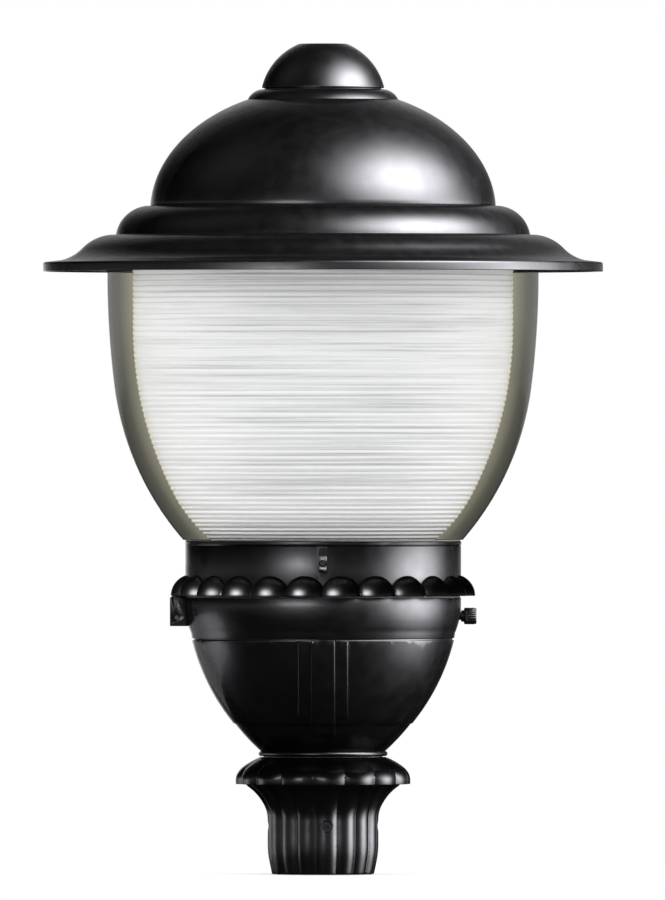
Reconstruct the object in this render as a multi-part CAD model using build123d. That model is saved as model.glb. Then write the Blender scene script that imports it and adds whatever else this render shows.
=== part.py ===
from build123d import *
import os
from math import cos, hypot, pi, radians, sin, sqrt

# Post top lantern. Lengths are in millimetres and angles in degrees.
# The lantern stands along +Z, with the open end of its fitter at z = 0. Its front faces -Y, the hinge of
# its head is on the left (-X) and the thumb screw that locks the head is on the right (+X).
# Angles round the lantern are counted from the front towards the right.

# ---------------------------------------------------------------- driving dimensions

# Clearances
seat_gap = 0.3              # between the closed head and the seal that it shuts on
running_gap = 0.06          # round a pin or screw that turns in its hole
side_gap = 0.4              # beside a part that swings or slides
screw_gap = 0.1             # round a screw that is only pushed through

# Fitter, the reeded casting that slips over the tenon of the post
bore_radius = 39.0
bore_depth = 98.0
fitter_height = 117.0
foot_radius = 51.0
foot_blend = 30.0
shaft_radius = 55.5
flare_start = 55.0
flare_radius = 77.5
capital_low = 90.0
capital_lip = 4.0
capital_radius = 87.5
capital_top_radius = 63.0
reed_count = 16
reed_turn = 4.0
reed_depth = 3.4
petal_depth = 3.6
wire_hole_radius = 16.0
set_screw_count = 4
set_screw_height = 48.0
set_screw_radius = 5.0
set_screw_recess = 1.2
set_screw_socket = 5.0

# Joint between the fitter and the housing
neck_gasket_thickness = 1.0
neck_gasket_radius = 59.5
neck_bolt_count = 3
neck_bolt_turn = 60.0
neck_bolt_circle = 31.0
neck_bolt_radius = 4.0
neck_bolt_grip = 24.0
neck_bolt_head = 6.5        # half of the width across its flats
neck_bolt_head_height = 5.3

# Ballast housing
housing_height = 158.5
housing_wall = 6.0
housing_floor = 10.0
neck_radius = 62.0
neck_bead_height = 5.0
neck_bead = 2.6
bowl_foot_radius = 63.4
bowl_foot = 6.0
ledge_height = 32.5
ledge_radius = 89.3
ledge_step = 1.4
bowl_curve = 211.5
band_radius = 138.0
band_bulge = 1.35
band_drop = 8.5             # from the rim down to where the band starts to narrow
waist_step = 6.0            # how much narrower the housing is at its waist than at its rim
waist_rise = 5.0
groove_drop = 40.5          # from the rim down to the groove
groove_width = 2.0
groove_depth = 1.6
groove_step = 0.9
strap_widths = (50.0, 24.0)
strap_proud = (2.2, 4.4)
strap_lows = (39.0, 21.0)     # the foot of each step, above the base of the housing
strap_edge = 0.9
seal_thickness = 1.5
seal_inset = 1.0

# Hinge on the left
hinge_offset = 8.0          # from the side of the housing out to the pin
hinge_drop = 21.8           # from the underside of the head down to the pin
hinge_block_width = 34.0
hinge_block_depth = 15.0
hinge_block_drop = 28.5     # from the rim down to the foot of the block
hinge_pin_radius = 3.0
lug_width = 14.0
lug_eye_radius = 6.0
lug_stem = 10.0
lug_height = 7.8
lug_screw_spread = 7.4
block_screw_radius = 2.5
block_screw_rise = 9.4
block_screw_spread = 24.4

# Thumb screw and clamp on the right
latch_drop = 18.5           # from the rim down to the thumb screw
latch_screw_radius = 4.0
knob_radius = 8.3
knob_length = 12.5
knob_flutes = 20
knob_flute_depth = 0.7
knob_slot = 1.6
shoulder_radius = 5.75
shoulder_length = 2.9
latch_pad = 8.7             # from the outside of the band in to the face of the pad
latch_pad_height = 16.0
latch_rib = 3.6
latch_rib_length = 25.3
retainer_radius = 7.0
retainer_thickness = 1.0
retainer_recess_radius = 8.0
retainer_recess = 2.5
tab_gap = 0.7
tab_thickness = 4.0
tab_width = 20.0
tab_slot = 9.0
tab_tip = 8.0               # below the axis of the thumb screw
tab_pad_low = 2.7
tab_pad_height = 15.0
tab_screw_radius = 2.0
tab_screw_spread = 11.0
clamp_gap = 0.6
clamp_thickness = 6.4
clamp_width = 22.0
clamp_height = 16.0
thread_spare = 9.6          # how far the thread goes through the nut

# Gear tray and what it carries
tray_drop = 40.5            # from the rim down to its underside
tray_thickness = 3.0
tray_gap = 5.0
tray_lug = 16.0
tray_lug_length = 14.0
tray_lug_depth = 12.0
tray_screw_inset = 7.0
tray_screw_radius = 2.5
core_width = 94.0
core_depth = 50.0
core_height = 80.0
core_leg = 28.0
core_yoke = 14.0
coil_build = 13.0
coil_reach = 43.0
coil_ends = 1.0
bracket_sheet = 2.5
bracket_foot = 16.0
bracket_screw_spread = 26.0
capacitor_radius = 20.0
capacitor_height = 70.0
capacitor_place = 66.0
strap_sheet = 1.2
strap_band = 15.0
strap_width = 12.0
strap_foot = 10.0
ignitor_size = (44.0, 30.0, 24.0)
ignitor_place = (-46.0, -52.0)
terminal_size = (56.0, 22.0, 18.0)
terminal_place = (44.0, -56.0)
terminal_poles = 3
earth_place = (-62.0, 30.0)
earth_stud_radius = 3.0
earth_stud_height = 16.0
grommet_lip = 3.0
grommet_place = 86.0

# Gear cover and lampholder
cover_post_height = 29.0
cover_post_radius = 5.0
cover_post_inset = 20.0
cover_post_turns = (40.0, 160.0, 280.0)
cover_inset = 2.0
cover_sheet = 2.0
cover_edge = 9.0
cover_notch_gap = 7.0
cover_notch = 38.0
cover_screw_radius = 2.0
holder_bracket_rise = 14.0
holder_bracket_length = 52.0
holder_bracket_width = 34.0
holder_bracket_foot = 13.0
holder_foot_radius = 22.0
holder_foot = 8.0
holder_radius = 19.5
holder_height = 42.0
holder_bore_radius = 15.0
holder_bore_depth = 32.0
shell_wall = 0.7
lamp_cap_radius = 13.2
lamp_cap_height = 26.0
lamp_neck_radius = 14.0
lamp_radius = 27.0
lamp_length = 138.0
lamp_widest = 92.0
lamp_crown_radius = 19.5
lamp_crown = 12.0
lamp_glass = 1.0
arc_tube_radius = 5.0
arc_tube_length = 44.0

# Collar and scalloped ring, the foot of the head
collar_height = 54.7
collar_wall = 5.0
collar_lip = 4.0
collar_lip_groove = 0.8
seat_height = 22.7
seat_thickness = 4.0
seat_inset = 7.0
slot_count = 3
slot_width = 8.0
slot_low = 24.0
slot_top_margin = 5.5
slot_screw_height = 32.7
slot_screw_radius = 2.5
slot_screw_head = 3.8
slot_screw_head_height = 3.0
scallop_count = 24
scallop_radius = 21.5
scallop_inset = 6.2
scallop_fit = 0.2
clip_thickness = 3.0
clip_width = 16.0
clip_height = 13.0
clip_foot = 15.0

# Globe and refractor
globe_gasket_thickness = 1.2
globe_gasket_width = 6.0
globe_radius = 215.6
globe_wall = 4.0
globe_height = 287.8
globe_straight = 21.0       # the upright stretch at its top
globe_knee_step = 7.2
globe_knee = 152.8
globe_shoulder_step = 1.9
globe_neck_gap = 3.0
globe_neck_clear = 4.2
refractor_radius = 190.5
refractor_wall = 3.5
refractor_straight = 75.4
refractor_knee_step = 40.7
refractor_knee = 45.8
refractor_foot = -7.2       # where its bowl meets its neck, from the foot of the globe
refractor_neck_radius = 104.0
refractor_seal = 1.5
refractor_seal_width = 8.0
prism_count = 57
prism_depth = 1.4
prism_lean = 0.3

# Hood: spun skirt, soffit ring and dome. Its radii step in and out from the radius of the globe.
hood_overlap = 19.5         # how far its rim hangs below the top of the globe
hood_sheet = 2.5
rim_reach = 64.4
rim_lip = 9.5
rim_round = 2.4
flange_reach = 46.4
flange_rise = 1.8
ogee_knee_reach = 26.4
ogee_knee = 22.0
ogee_hollow = 1.5
ogee_inset = 0.6
ogee_height = 36.5
ogee_swell = 2.7
bead_step = 7.7
bead_width = 29.3
bead_height = 29.0
bead_swell = 6.75
hood_flange = 20.0
soffit_sheet = 2.0
soffit_gap = 2.0
soffit_edge_gap = 3.0
soffit_web = 12.5           # how far its web reaches inside the refractor
soffit_screw_count = 6
soffit_screw_inset = 6.5
soffit_screw_radius = 2.0
rim_gasket_thickness = 4.0
rim_gasket_width = 9.0
rim_screw_count = 6
rim_screw_radius = 2.0
rim_screw_drop = 5.0
reflector_sheet = 1.5
reflector_gap = 3.0
reflector_flange = 17.0
reflector_slope = 31.0
reflector_rise = 18.0
reflector_top_radius = 60.0
reflector_height = 30.0
reflector_screw_count = 4
dome_step = 5.0
dome_half_height = 124.5
dome_sink = 5.6             # how far the middle of the dome's oval lies below its edge
dome_sheet = 2.0
dome_rivet_count = 8
dome_rivet_inset = 8.5
dome_rivet_radius = 2.0

# Finial
ring_radius = 76.0
ring_low = 4.0
ring_cover = 2.4            # from its top up to the crown of the dome
ring_top_radius = 62.5
ring_swell = 2.5
ring_bore = 50.0
finial_groove = 1.5
finial_groove_depth = 3.0
finial_sphere = 63.0
finial_base_radius = 61.4
finial_flat_radius = 23.5
finial_wall = 4.0
finial_boss = 11.0
finial_stud_radius = 5.0
finial_stud_grip = 20.0
finial_nut_height = 8.0
finial_washer = (13.0, 1.6)

# ---------------------------------------------------------------- heights and places that follow

housing_base = fitter_height + neck_gasket_thickness
housing_rim = housing_base + housing_height
head_base = housing_rim + seal_thickness + seat_gap
collar_top = head_base + collar_height
collar_inner = band_radius - collar_wall
seat_top = head_base + seat_height + seat_thickness
globe_base = collar_top + globe_gasket_thickness
globe_top = globe_base + globe_height
hood_base = globe_top - hood_overlap
flange_top = hood_base + rim_lip
bead_base = hood_base + ogee_height
dome_base = bead_base + bead_height
web_low = globe_top + rim_gasket_thickness
web_top = web_low + soffit_sheet
ring_top = dome_base - dome_sink + dome_half_height - ring_cover
finial_base = ring_top + finial_groove
hinge_height = head_base - hinge_drop
latch_axis = housing_rim - latch_drop
tray_low = housing_rim - tray_drop
groove_top = housing_rim - groove_drop
groove_low = groove_top - groove_width
band_low = housing_rim - band_drop
tray_top = tray_low + tray_thickness
cover_low = tray_top + cover_post_height
cover_top = cover_low + cover_sheet
holder_base = cover_top + holder_bracket_rise
lamp_base = holder_base + holder_height - lamp_cap_height - 2.0
slot_turns = [i * 360.0 / slot_count for i in range(slot_count)]

waist_radius = band_radius - waist_step
bowl_top_radius = waist_radius - groove_step
hinge_reach = band_radius + hinge_offset
hinge_block_reach = band_radius + hinge_block_depth
latch_pad_reach = band_radius - latch_pad
latch_rib_reach = latch_pad_reach - latch_rib_length
tab_face = latch_pad_reach - tab_gap
clamp_face = tab_face - tab_thickness - clamp_gap
thread_reach = clamp_face - clamp_thickness - thread_spare
tray_radius = waist_radius - housing_wall - tray_gap
tray_lug_reach = tray_radius - tray_lug_length
tray_screw_circle = tray_radius - tray_screw_inset
cover_post_circle = tray_radius - cover_post_inset
cover_radius = tray_radius - cover_inset
cover_notch_reach = latch_rib_reach - cover_notch_gap
seat_radius = refractor_neck_radius - seat_inset
scallop_centre = band_radius - scallop_inset
globe_shoulder = band_radius + globe_shoulder_step
globe_neck_radius = collar_inner - globe_neck_gap
rim_radius = globe_radius + rim_reach
flange_radius = globe_radius + flange_reach
ogee_knee_radius = globe_radius + ogee_knee_reach
ogee_radius = globe_radius - ogee_inset
bead_radius = ogee_radius - bead_step
bead_top_radius = bead_radius - bead_width
dome_radius = bead_top_radius - dome_step
hood_flange_radius = bead_top_radius - hood_flange
dome_rivet_circle = dome_radius - dome_rivet_inset
soffit_radius = rim_radius - hood_sheet - soffit_edge_gap
soffit_inner = refractor_radius - soffit_web
soffit_screw_circle = soffit_radius - soffit_screw_inset


# ---------------------------------------------------------------- ways to make a shape


def bulge_of(start, end, radius):
    """How far an arc of this radius stands off its chord."""
    half_chord = hypot(end[0] - start[0], end[1] - start[1]) / 2
    return radius - sqrt(radius**2 - half_chord**2)


def edges_of(steps):
    """Lines and arcs in the XZ plane from step to step. A step is (radius, height), or
    (radius, height, bulge) for an arc that stands out by bulge to the right of its way."""
    edges = []
    for here, there in zip(steps, steps[1:]):
        start, end = Vector(here[0], 0, here[1]), Vector(there[0], 0, there[1])
        if len(there) == 3:
            way = (end - start).normalized()
            middle = (start + end) * 0.5 + Vector(way.Z, 0, -way.X) * there[2]
            edges.append(ThreePointArc(start, middle, end))
        else:
            edges.append(Line(start, end))
    return edges


def outline(*steps):
    """The face inside the steps, with the last joined to the first."""
    return Face(Wire(edges_of([*steps, steps[0][:2]])))


def rounded(face, radius, *places):
    """The face with the corners at these (radius, height) places rounded."""
    corners = [face.vertices().sort_by_distance(Vector(r, 0, z))[0] for r, z in places]
    return face.fillet_2d(radius, corners)


def turned(*steps):
    return revolve(outline(*steps), Axis.Z)


def tube(inner, outer, low, high):
    return turned((inner, low), (outer, low), (outer, high), (inner, high))


def rod(radius, low, high, x=0.0, y=0.0):
    return Pos(x, y, (low + high) / 2) * Cylinder(radius, high - low)


def block(x, y, z):
    """A box between the two ends given for each axis."""
    centre = Pos((x[0] + x[1]) / 2, (y[0] + y[1]) / 2, (z[0] + z[1]) / 2)
    return centre * Box(abs(x[1] - x[0]), abs(y[1] - y[0]), abs(z[1] - z[0]))


def hexagon(half_width, low, high):
    return Pos(0, 0, low) * extrude(RegularPolygon(half_width, 6, major_radius=False), high - low)


def turn_to(turn):
    """Turns what is made along +X to this angle from the front."""
    return Rot(0, 0, turn - 90)


def outward(turn, radius, height):
    """A place on a wall: what is made along +Z points straight out there."""
    return turn_to(turn) * Pos(radius, 0, height) * Rot(0, 90, 0)


def inward(turn, radius, height):
    return turn_to(turn) * Pos(radius, 0, height) * Rot(0, -90, 0)


def circle_of(count, start=0.0):
    return [start + i * 360.0 / count for i in range(count)]


def group(shapes):
    return Compound(children=list(shapes))


def pan_screw(radius, length, head=None, head_height=None):
    """A screw along -Z from under its head, with a socket in the head."""
    head = head or radius * 1.85
    head_height = head_height or radius * 1.3
    top = fillet(rod(head, 0, head_height).edges().group_by(Axis.Z)[-1], head_height * 0.45)
    return top + rod(radius, -length, 0) - hexagon(radius * 0.75, head_height * 0.4, head_height)


def hex_bolt(radius, length, half_width, head_height):
    return hexagon(half_width, 0, head_height) + rod(radius, -length, 0)


def lobed_face(radius, depth, count, turn, height):
    """A level face edged by round lobes, with their crests on radius and the grooves depth below it."""
    half = 180.0 / count

    def at(distance, angle):
        return (distance * sin(radians(angle)), -distance * cos(radians(angle)), height)

    arcs = []
    for angle in circle_of(count, turn):
        left, right = at(radius - depth, angle - half), at(radius - depth, angle + half)
        arcs.append(ThreePointArc(left, at(radius, angle), right))
    return Face(Wire(arcs))


# ---------------------------------------------------------------- fitter


def shaft_outline(height):
    """Radius of the reeded shaft: a rounded foot, a straight stretch and a flare under the capital."""
    if height < flare_start:
        rise = min(height / foot_blend, 1.0)
        return foot_radius + (shaft_radius - foot_radius) * sin(rise * pi / 2)
    rise = (height - flare_start) / (capital_low - flare_start)
    return shaft_radius + (flare_radius - shaft_radius) * rise**2


def capital_outline(share):
    """Radius of the capital from its lip, at 0, to its top, at 1."""
    return capital_radius - (capital_radius - capital_top_radius) * share**2.2


def make_post_fitter():
    reeds, petals = [], []
    for i in range(13):
        height = capital_low * i / 12
        radius = shaft_outline(height)
        depth = reed_depth * radius / shaft_radius
        reeds.append(lobed_face(radius, depth, reed_count, reed_turn, height))
    petals_low = capital_low + capital_lip
    for i in range(6):
        share = i / 5
        height = petals_low + (fitter_height - petals_low) * share
        depth = petal_depth * (1 - share) + 0.3
        petals.append(lobed_face(capital_outline(share), depth, reed_count, reed_turn, height))
    lip = lobed_face(capital_radius, petal_depth + 0.3, reed_count, reed_turn, capital_low)
    body = loft(reeds) + extrude(lip, capital_lip) + loft(petals)
    body -= rod(bore_radius, 0, bore_depth)
    body -= rod(wire_hole_radius, bore_depth, fitter_height)
    bolt_depth = neck_bolt_grip - housing_floor - neck_gasket_thickness + 2.0
    for turn in circle_of(neck_bolt_count, neck_bolt_turn):
        hole = rod(neck_bolt_radius + screw_gap, fitter_height - bolt_depth, fitter_height)
        body -= turn_to(turn) * Pos(neck_bolt_circle, 0, 0) * hole
    for turn in circle_of(set_screw_count, reed_turn):
        hole = rod(set_screw_radius + screw_gap, 0, capital_radius)
        body -= outward(turn, 0, set_screw_height) * hole
    return body


def make_fitter_set_screws():
    length = shaft_radius - set_screw_recess - bore_radius - seat_gap
    screw = rod(set_screw_radius, 0, length) - hexagon(set_screw_socket / 2, length - 5.0, length)
    screw = chamfer(screw.edges().group_by(Axis.Z)[0], 0.8)
    place = bore_radius + seat_gap
    return group(outward(t, place, set_screw_height) * screw for t in circle_of(set_screw_count, reed_turn))


def bolt_places():
    return [turn_to(turn) * Pos(neck_bolt_circle, 0, 0) for turn in circle_of(neck_bolt_count, neck_bolt_turn)]


def make_neck_gasket():
    gasket = tube(wire_hole_radius, neck_gasket_radius, fitter_height, housing_base)
    for place in bolt_places():
        gasket -= place * rod(neck_bolt_radius + screw_gap, fitter_height, housing_base)
    return gasket


def make_neck_bolts():
    bolt = hex_bolt(neck_bolt_radius, neck_bolt_grip, neck_bolt_head, neck_bolt_head_height)
    return group(place * Pos(0, 0, housing_base + housing_floor) * bolt for place in bolt_places())


# ---------------------------------------------------------------- ballast housing


def band_radius_at(height):
    """Outer radius of the housing's band at a height."""
    low = groove_top + waist_rise
    if height >= band_low:
        return band_radius
    chord = hypot(waist_step, band_low - low)
    curve = (chord**2 / 4 + band_bulge**2) / (2 * band_bulge)
    share = (height - low) / (band_low - low)
    straight = waist_radius + waist_step * share
    off = (share - 0.5) * chord
    return straight + (sqrt(curve**2 - off**2) - (curve - band_bulge)) * (band_low - low) / chord


def bowl_steps(shift):
    """The bowl from its foot to the groove, moved outwards by shift."""
    foot = (bowl_foot_radius + shift, housing_base + bowl_foot)
    under = (ledge_radius - ledge_step + shift, housing_base + ledge_height)
    over = (ledge_radius + shift, housing_base + ledge_height)
    top = (bowl_top_radius + shift, groove_low)
    return [
        foot,
        (*under, bulge_of(foot, under, bowl_curve)),
        over,
        (*top, bulge_of(over, top, bowl_curve)),
    ]


def band_steps(shift):
    """The band over the groove, moved outwards by shift."""
    return [
        (waist_radius + shift, groove_top + waist_rise),
        (band_radius + shift, band_low, band_bulge),
        (band_radius + shift, housing_rim),
    ]


def make_strap(width, proud, low):
    """An upright strap down the bowl, front and back, that follows its curve."""
    bowl = bowl_steps(proud)
    skin = turned((0, bowl[0][1]), *bowl, (0, groove_low))
    side = block((-width / 2, width / 2), (-band_radius * 1.2, 0), (housing_base + low, groove_low))
    strap = skin & side
    upright = strap.edges().filter_by(lambda e: e.length > 0.6 * (groove_low - housing_base - low))
    outer = [e for e in upright if e.center().Y < -bowl_foot_radius * 0.5 and abs(e.center().X) > 1]
    strap = chamfer(outer, strap_edge)
    return strap + Rot(0, 0, 180) * strap


def make_ballast_housing():
    bead_top = housing_base + neck_bead_height
    body = turned(
        (0, housing_base),
        (neck_radius, housing_base),
        (neck_radius, bead_top, neck_bead),
        *bowl_steps(0.0),
        (bowl_top_radius - groove_depth, groove_low),
        (bowl_top_radius - groove_depth, groove_top),
        (waist_radius - 0.6, groove_top),
        *band_steps(0.0),
        (0, housing_rim),
    )
    for width, proud, low in zip(strap_widths, strap_proud, strap_lows):
        body += make_strap(width, proud, low)
    floor = housing_base + housing_floor
    inner = [step for step in bowl_steps(-housing_wall) if step[1] > floor]
    foot = bowl_foot_radius - housing_wall + housing_floor - bowl_foot
    cavity = turned((0, floor), (foot, floor), *inner, *band_steps(-housing_wall), (0, housing_rim))
    ribs = latch_ribs() & rod(band_radius - housing_wall / 2, 0, housing_rim)
    body = body - cavity + ribs
    for turn in tray_lug_turns():
        lug = block(
            (tray_lug_reach, band_radius),
            (-tray_lug / 2, tray_lug / 2),
            (tray_low - tray_lug_depth, tray_low),
        )
        lug = turn_to(turn) * lug & turned(*outer_trim())
        body += lug
        body -= turn_to(turn) * rod(tray_screw_radius, tray_low - 9.0, tray_low, tray_screw_circle)
    body -= rod(wire_hole_radius, housing_base, floor)
    for place in bolt_places():
        body -= place * rod(neck_bolt_radius + screw_gap, housing_base, floor)
    body -= latch_hole()
    for y in (-block_screw_spread / 2, block_screw_spread / 2):
        hole = rod(block_screw_radius + screw_gap, 0, housing_wall * 2)
        body -= Pos(-band_radius - 1.0, y, hinge_height + block_screw_rise) * Rot(0, 90, 0) * hole
    return body


def outer_trim():
    """A turned outline half-way through the housing's wall, which trims the lugs cast inside it."""
    shift = -housing_wall / 2
    foot, top = bowl_steps(shift)[0], band_steps(shift)[-1]
    return [(0, foot[1]), *bowl_steps(shift), *band_steps(shift), (0, top[1])]


def tray_lug_turns():
    return circle_of(3, 30.0)


def latch_ribs():
    """The pad behind the thumb screw and the two ribs that keep its nut from turning."""
    height = (latch_axis - latch_pad_height / 2, latch_axis + latch_pad_height / 2)
    inner = clamp_width / 2 + side_gap
    outer = inner + latch_rib
    pad = block((latch_pad_reach, band_radius), (-outer, outer), height)
    for side in (-1, 1):
        pad += block((latch_rib_reach, band_radius), (side * inner, side * outer), height)
    return pad


def latch_hole():
    hole = rod(latch_screw_radius + running_gap, 0, band_radius * 1.1)
    recess = rod(retainer_recess_radius, 0, latch_pad_reach + retainer_recess)
    ahead = block((0, latch_rib_reach), (-band_radius, band_radius), (-band_radius, band_radius))
    return Pos(0, 0, latch_axis) * (Rot(0, 90, 0) * hole + Rot(0, 90, 0) * recess - ahead)


def make_housing_seal():
    inner = band_radius - housing_wall + seal_inset
    return tube(inner, band_radius - seal_inset, housing_rim, housing_rim + seal_thickness)


# ---------------------------------------------------------------- hinge


def make_hinge_block():
    """A block on the housing with two ears. Its top is rounded about the pin, so the head swings over."""
    half = hinge_block_width / 2
    top = hinge_drop - side_gap
    low = housing_rim - hinge_block_drop
    body = block((-hinge_block_reach, 0), (-half, half), (low, hinge_height))
    upper = Pos(-hinge_reach, 0, hinge_height) * Rot(90, 0, 0) * Cylinder(top, hinge_block_width)
    upper &= block(
        (-hinge_block_reach, -hinge_reach), (-half, half), (hinge_height, hinge_height + top)
    )
    body += upper + block((-hinge_reach, 0), (-half, half), (hinge_height, hinge_height + top))
    body -= turned((0, 0), (band_radius, 0), (band_radius, head_base), (0, head_base)) & rod(
        band_radius, band_low, head_base
    )
    body -= turned((0, groove_top), (waist_radius, groove_top), *band_steps(0.0)[:2], (0, band_low))
    half_slot = lug_width / 2 + side_gap
    pocket = lug_eye_radius + side_gap
    body -= block(
        (-hinge_block_reach - 1, -band_radius),
        (-half_slot, half_slot),
        (hinge_height - pocket, head_base),
    )
    pin = Pos(-hinge_reach, 0, hinge_height) * Rot(90, 0, 0)
    body -= pin * Cylinder(hinge_pin_radius + running_gap / 2, hinge_block_width * 1.1)
    for y in (-block_screw_spread / 2, block_screw_spread / 2):
        hole = rod(block_screw_radius + screw_gap, 0, 10.5)
        body -= Pos(-band_radius + 1, y, hinge_height + block_screw_rise) * Rot(0, -90, 0) * hole
    return body


def make_hinge_pin():
    pin = chamfer(Cylinder(hinge_pin_radius, hinge_block_width - 0.6).edges(), 0.4)
    return Pos(-hinge_reach, 0, hinge_height) * Rot(90, 0, 0) * pin


def make_hinge_block_screws():
    screw = pan_screw(block_screw_radius, housing_wall + 9.0)
    screws = []
    for y in (-block_screw_spread / 2, block_screw_spread / 2):
        wall = sqrt((band_radius - housing_wall) ** 2 - y**2) - 1.4
        screws.append(Pos(-wall, y, hinge_height + block_screw_rise) * Rot(0, 90, 0) * screw)
    return group(screws)


def lug_pocket(gap):
    half = lug_width / 2 + gap
    return block((-hinge_block_reach + 2.0, -band_radius), (-half, half), (head_base, head_base + lug_height + gap))


def make_hinge_lug():
    eye = Pos(-hinge_reach, 0, hinge_height) * Rot(90, 0, 0) * Cylinder(lug_eye_radius, lug_width)
    half = lug_width / 2
    stem = block(
        (-hinge_reach - lug_stem / 2, -hinge_reach + lug_stem / 2), (-half, half), (hinge_height, head_base)
    )
    lug = eye + stem + (lug_pocket(0.0) - rod(band_radius + 0.1, 0, collar_top))
    lug -= Pos(-hinge_reach, 0, hinge_height) * Rot(90, 0, 0) * Cylinder(
        hinge_pin_radius + running_gap, lug_width * 1.1
    )
    for place in lug_screw_places():
        lug -= place * rod(tab_screw_radius + 0.02, -14.0, 0)
    return lug


def lug_screw_places():
    """Under the heads of the two screws inside the collar."""
    height = head_base + lug_height / 2
    return [
        Pos(-collar_inner + 0.2, y, height) * Rot(0, 90, 0)
        for y in (-lug_screw_spread / 2, lug_screw_spread / 2)
    ]


# ---------------------------------------------------------------- thumb screw


def make_thumb_screw():
    """Fluted head, shoulder and thread along +X."""
    wall = band_radius_at(latch_axis + shoulder_radius) + seat_gap
    head_low = wall + shoulder_length
    head_top = head_low + knob_length
    head = extrude(lobed_face(knob_radius, knob_flute_depth, knob_flutes, 0, head_low), knob_length)
    head = head & chamfer(rod(knob_radius, head_low, head_top).edges(), 0.9)
    head -= block((-knob_radius, knob_radius), (-knob_slot / 2, knob_slot / 2), (head_top - 2.0, head_top))
    body = head + rod(shoulder_radius, wall, head_low) + rod(latch_screw_radius, thread_reach, wall)
    return Pos(0, 0, latch_axis) * Rot(0, 90, 0) * body


def make_latch_retainer():
    low = latch_pad_reach + (retainer_recess - retainer_thickness) / 2 + 0.4
    ring = tube(latch_screw_radius, retainer_radius, low, low + retainer_thickness)
    return Pos(0, 0, latch_axis) * Rot(0, 90, 0) * ring


def make_clamp_nut():
    half = clamp_width / 2
    height = (latch_axis - clamp_height / 2, latch_axis + clamp_height / 2)
    nut = block((clamp_face - clamp_thickness, clamp_face), (-half, half), height)
    nut = chamfer(nut.edges().filter_by(Axis.X), 1.0)
    hole = rod(latch_screw_radius + running_gap, clamp_face - clamp_thickness - 1, clamp_face + 1)
    return nut - Pos(0, 0, latch_axis) * Rot(0, 90, 0) * hole


def make_latch_tab():
    """The plate that hangs from the head and straddles the thumb screw."""
    half = tab_width / 2
    pad_low = head_base + tab_pad_low
    back = tab_face - tab_thickness
    blade = block((back, tab_face), (-half, half), (latch_axis - tab_tip, pad_low))
    pad = block((back, band_radius), (-half, half), (pad_low, pad_low + tab_pad_height))
    tab = blade + (pad & rod(collar_inner, pad_low, pad_low + tab_pad_height))
    slot = block((back - 1, tab_face + 1), (-tab_slot / 2, tab_slot / 2), (0, latch_axis))
    arch = Pos(tab_face, 0, latch_axis) * Rot(0, 90, 0) * Cylinder(tab_slot / 2, tab_thickness * 3)
    tab -= (slot + arch) & block((back - 1, tab_face + 1), (-half, half), (0, head_base))
    for place in tab_screw_places():
        tab -= place * rod(tab_screw_radius + 0.02, -20, 0)
    return tab


def tab_screw_places():
    height = head_base + tab_pad_low + tab_pad_height / 2
    return [
        Pos(tab_face - tab_thickness, y, height) * Rot(0, -90, 0)
        for y in (-tab_screw_spread / 2, tab_screw_spread / 2)
    ]


def make_head_screws():
    """The screws of one size that hold the hinge's lug, the latch tab and the neck clips."""
    screw = pan_screw(tab_screw_radius, 11.5)
    places = [*lug_screw_places(), *tab_screw_places()]
    clip = Pos(clip_screw_circle(), 0, seat_top + clip_thickness)
    places += [turn_to(turn) * clip for turn in slot_turns]
    return group(place * screw for place in places)


# ---------------------------------------------------------------- gear


def tray_screw_places():
    return [turn_to(turn) * Pos(tray_screw_circle, 0, tray_top) for turn in tray_lug_turns()]


def cover_post_places():
    return [turn_to(turn) * Pos(cover_post_circle, 0, 0) for turn in cover_post_turns]


def bracket_screw_places():
    reach = core_width / 2 + bracket_sheet + bracket_foot / 2
    spread = bracket_screw_spread / 2
    return [(x, y) for x in (-reach, reach) for y in (-spread, spread)]


def capacitor_foot_place():
    return capacitor_place + capacitor_radius + 0.3 + strap_sheet + strap_foot / 2


def make_gear_tray():
    tray = rod(tray_radius, tray_low, tray_top)
    tray -= rod(wire_hole_radius, tray_low, tray_top, grommet_place)
    for place in tray_screw_places():
        tray -= place * rod(tray_screw_radius + screw_gap, -tray_thickness, 0)
    for place in cover_post_places():
        tray -= place * rod(cover_screw_radius + screw_gap, tray_low, tray_top)
    for x, y in [*bracket_screw_places(), (0, capacitor_foot_place())]:
        tray -= rod(cover_screw_radius + screw_gap, tray_low, tray_top, x, y)
    tray -= rod(earth_stud_radius + screw_gap, tray_low, tray_top, *earth_place)
    return tray


def make_tray_screws():
    return group(place * pan_screw(tray_screw_radius, tray_thickness + 8.0) for place in tray_screw_places())


def make_ballast_core():
    """A stack of plates with a middle leg and two windows, hung under the tray."""
    top = tray_low - 2.5
    body = block(
        (-core_width / 2, core_width / 2), (-core_depth / 2, core_depth / 2), (top - core_height, top)
    )
    window = (core_width - core_leg - 2 * core_yoke) / 2
    for side in (-1, 1):
        x = (side * core_leg / 2, side * (core_leg / 2 + window))
        body -= block(x, (-core_depth, core_depth), (top - core_height + core_yoke, top - core_yoke))
    return body


def make_ballast_coil():
    """Winding round the core's middle leg."""
    middle = tray_low - 2.5 - core_height / 2
    half_x, half_y = core_leg / 2 + seat_gap, core_depth / 2 + seat_gap
    height = core_height - 2 * core_yoke - 2 * coil_ends
    outer = Box(2 * (half_x + coil_build), 2 * coil_reach, height)
    outer = fillet(outer.edges().filter_by(Axis.Z), coil_build * 0.6)
    coil = outer - Box(2 * half_x, 2 * half_y, height)
    return Pos(0, 0, middle) * coil


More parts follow.
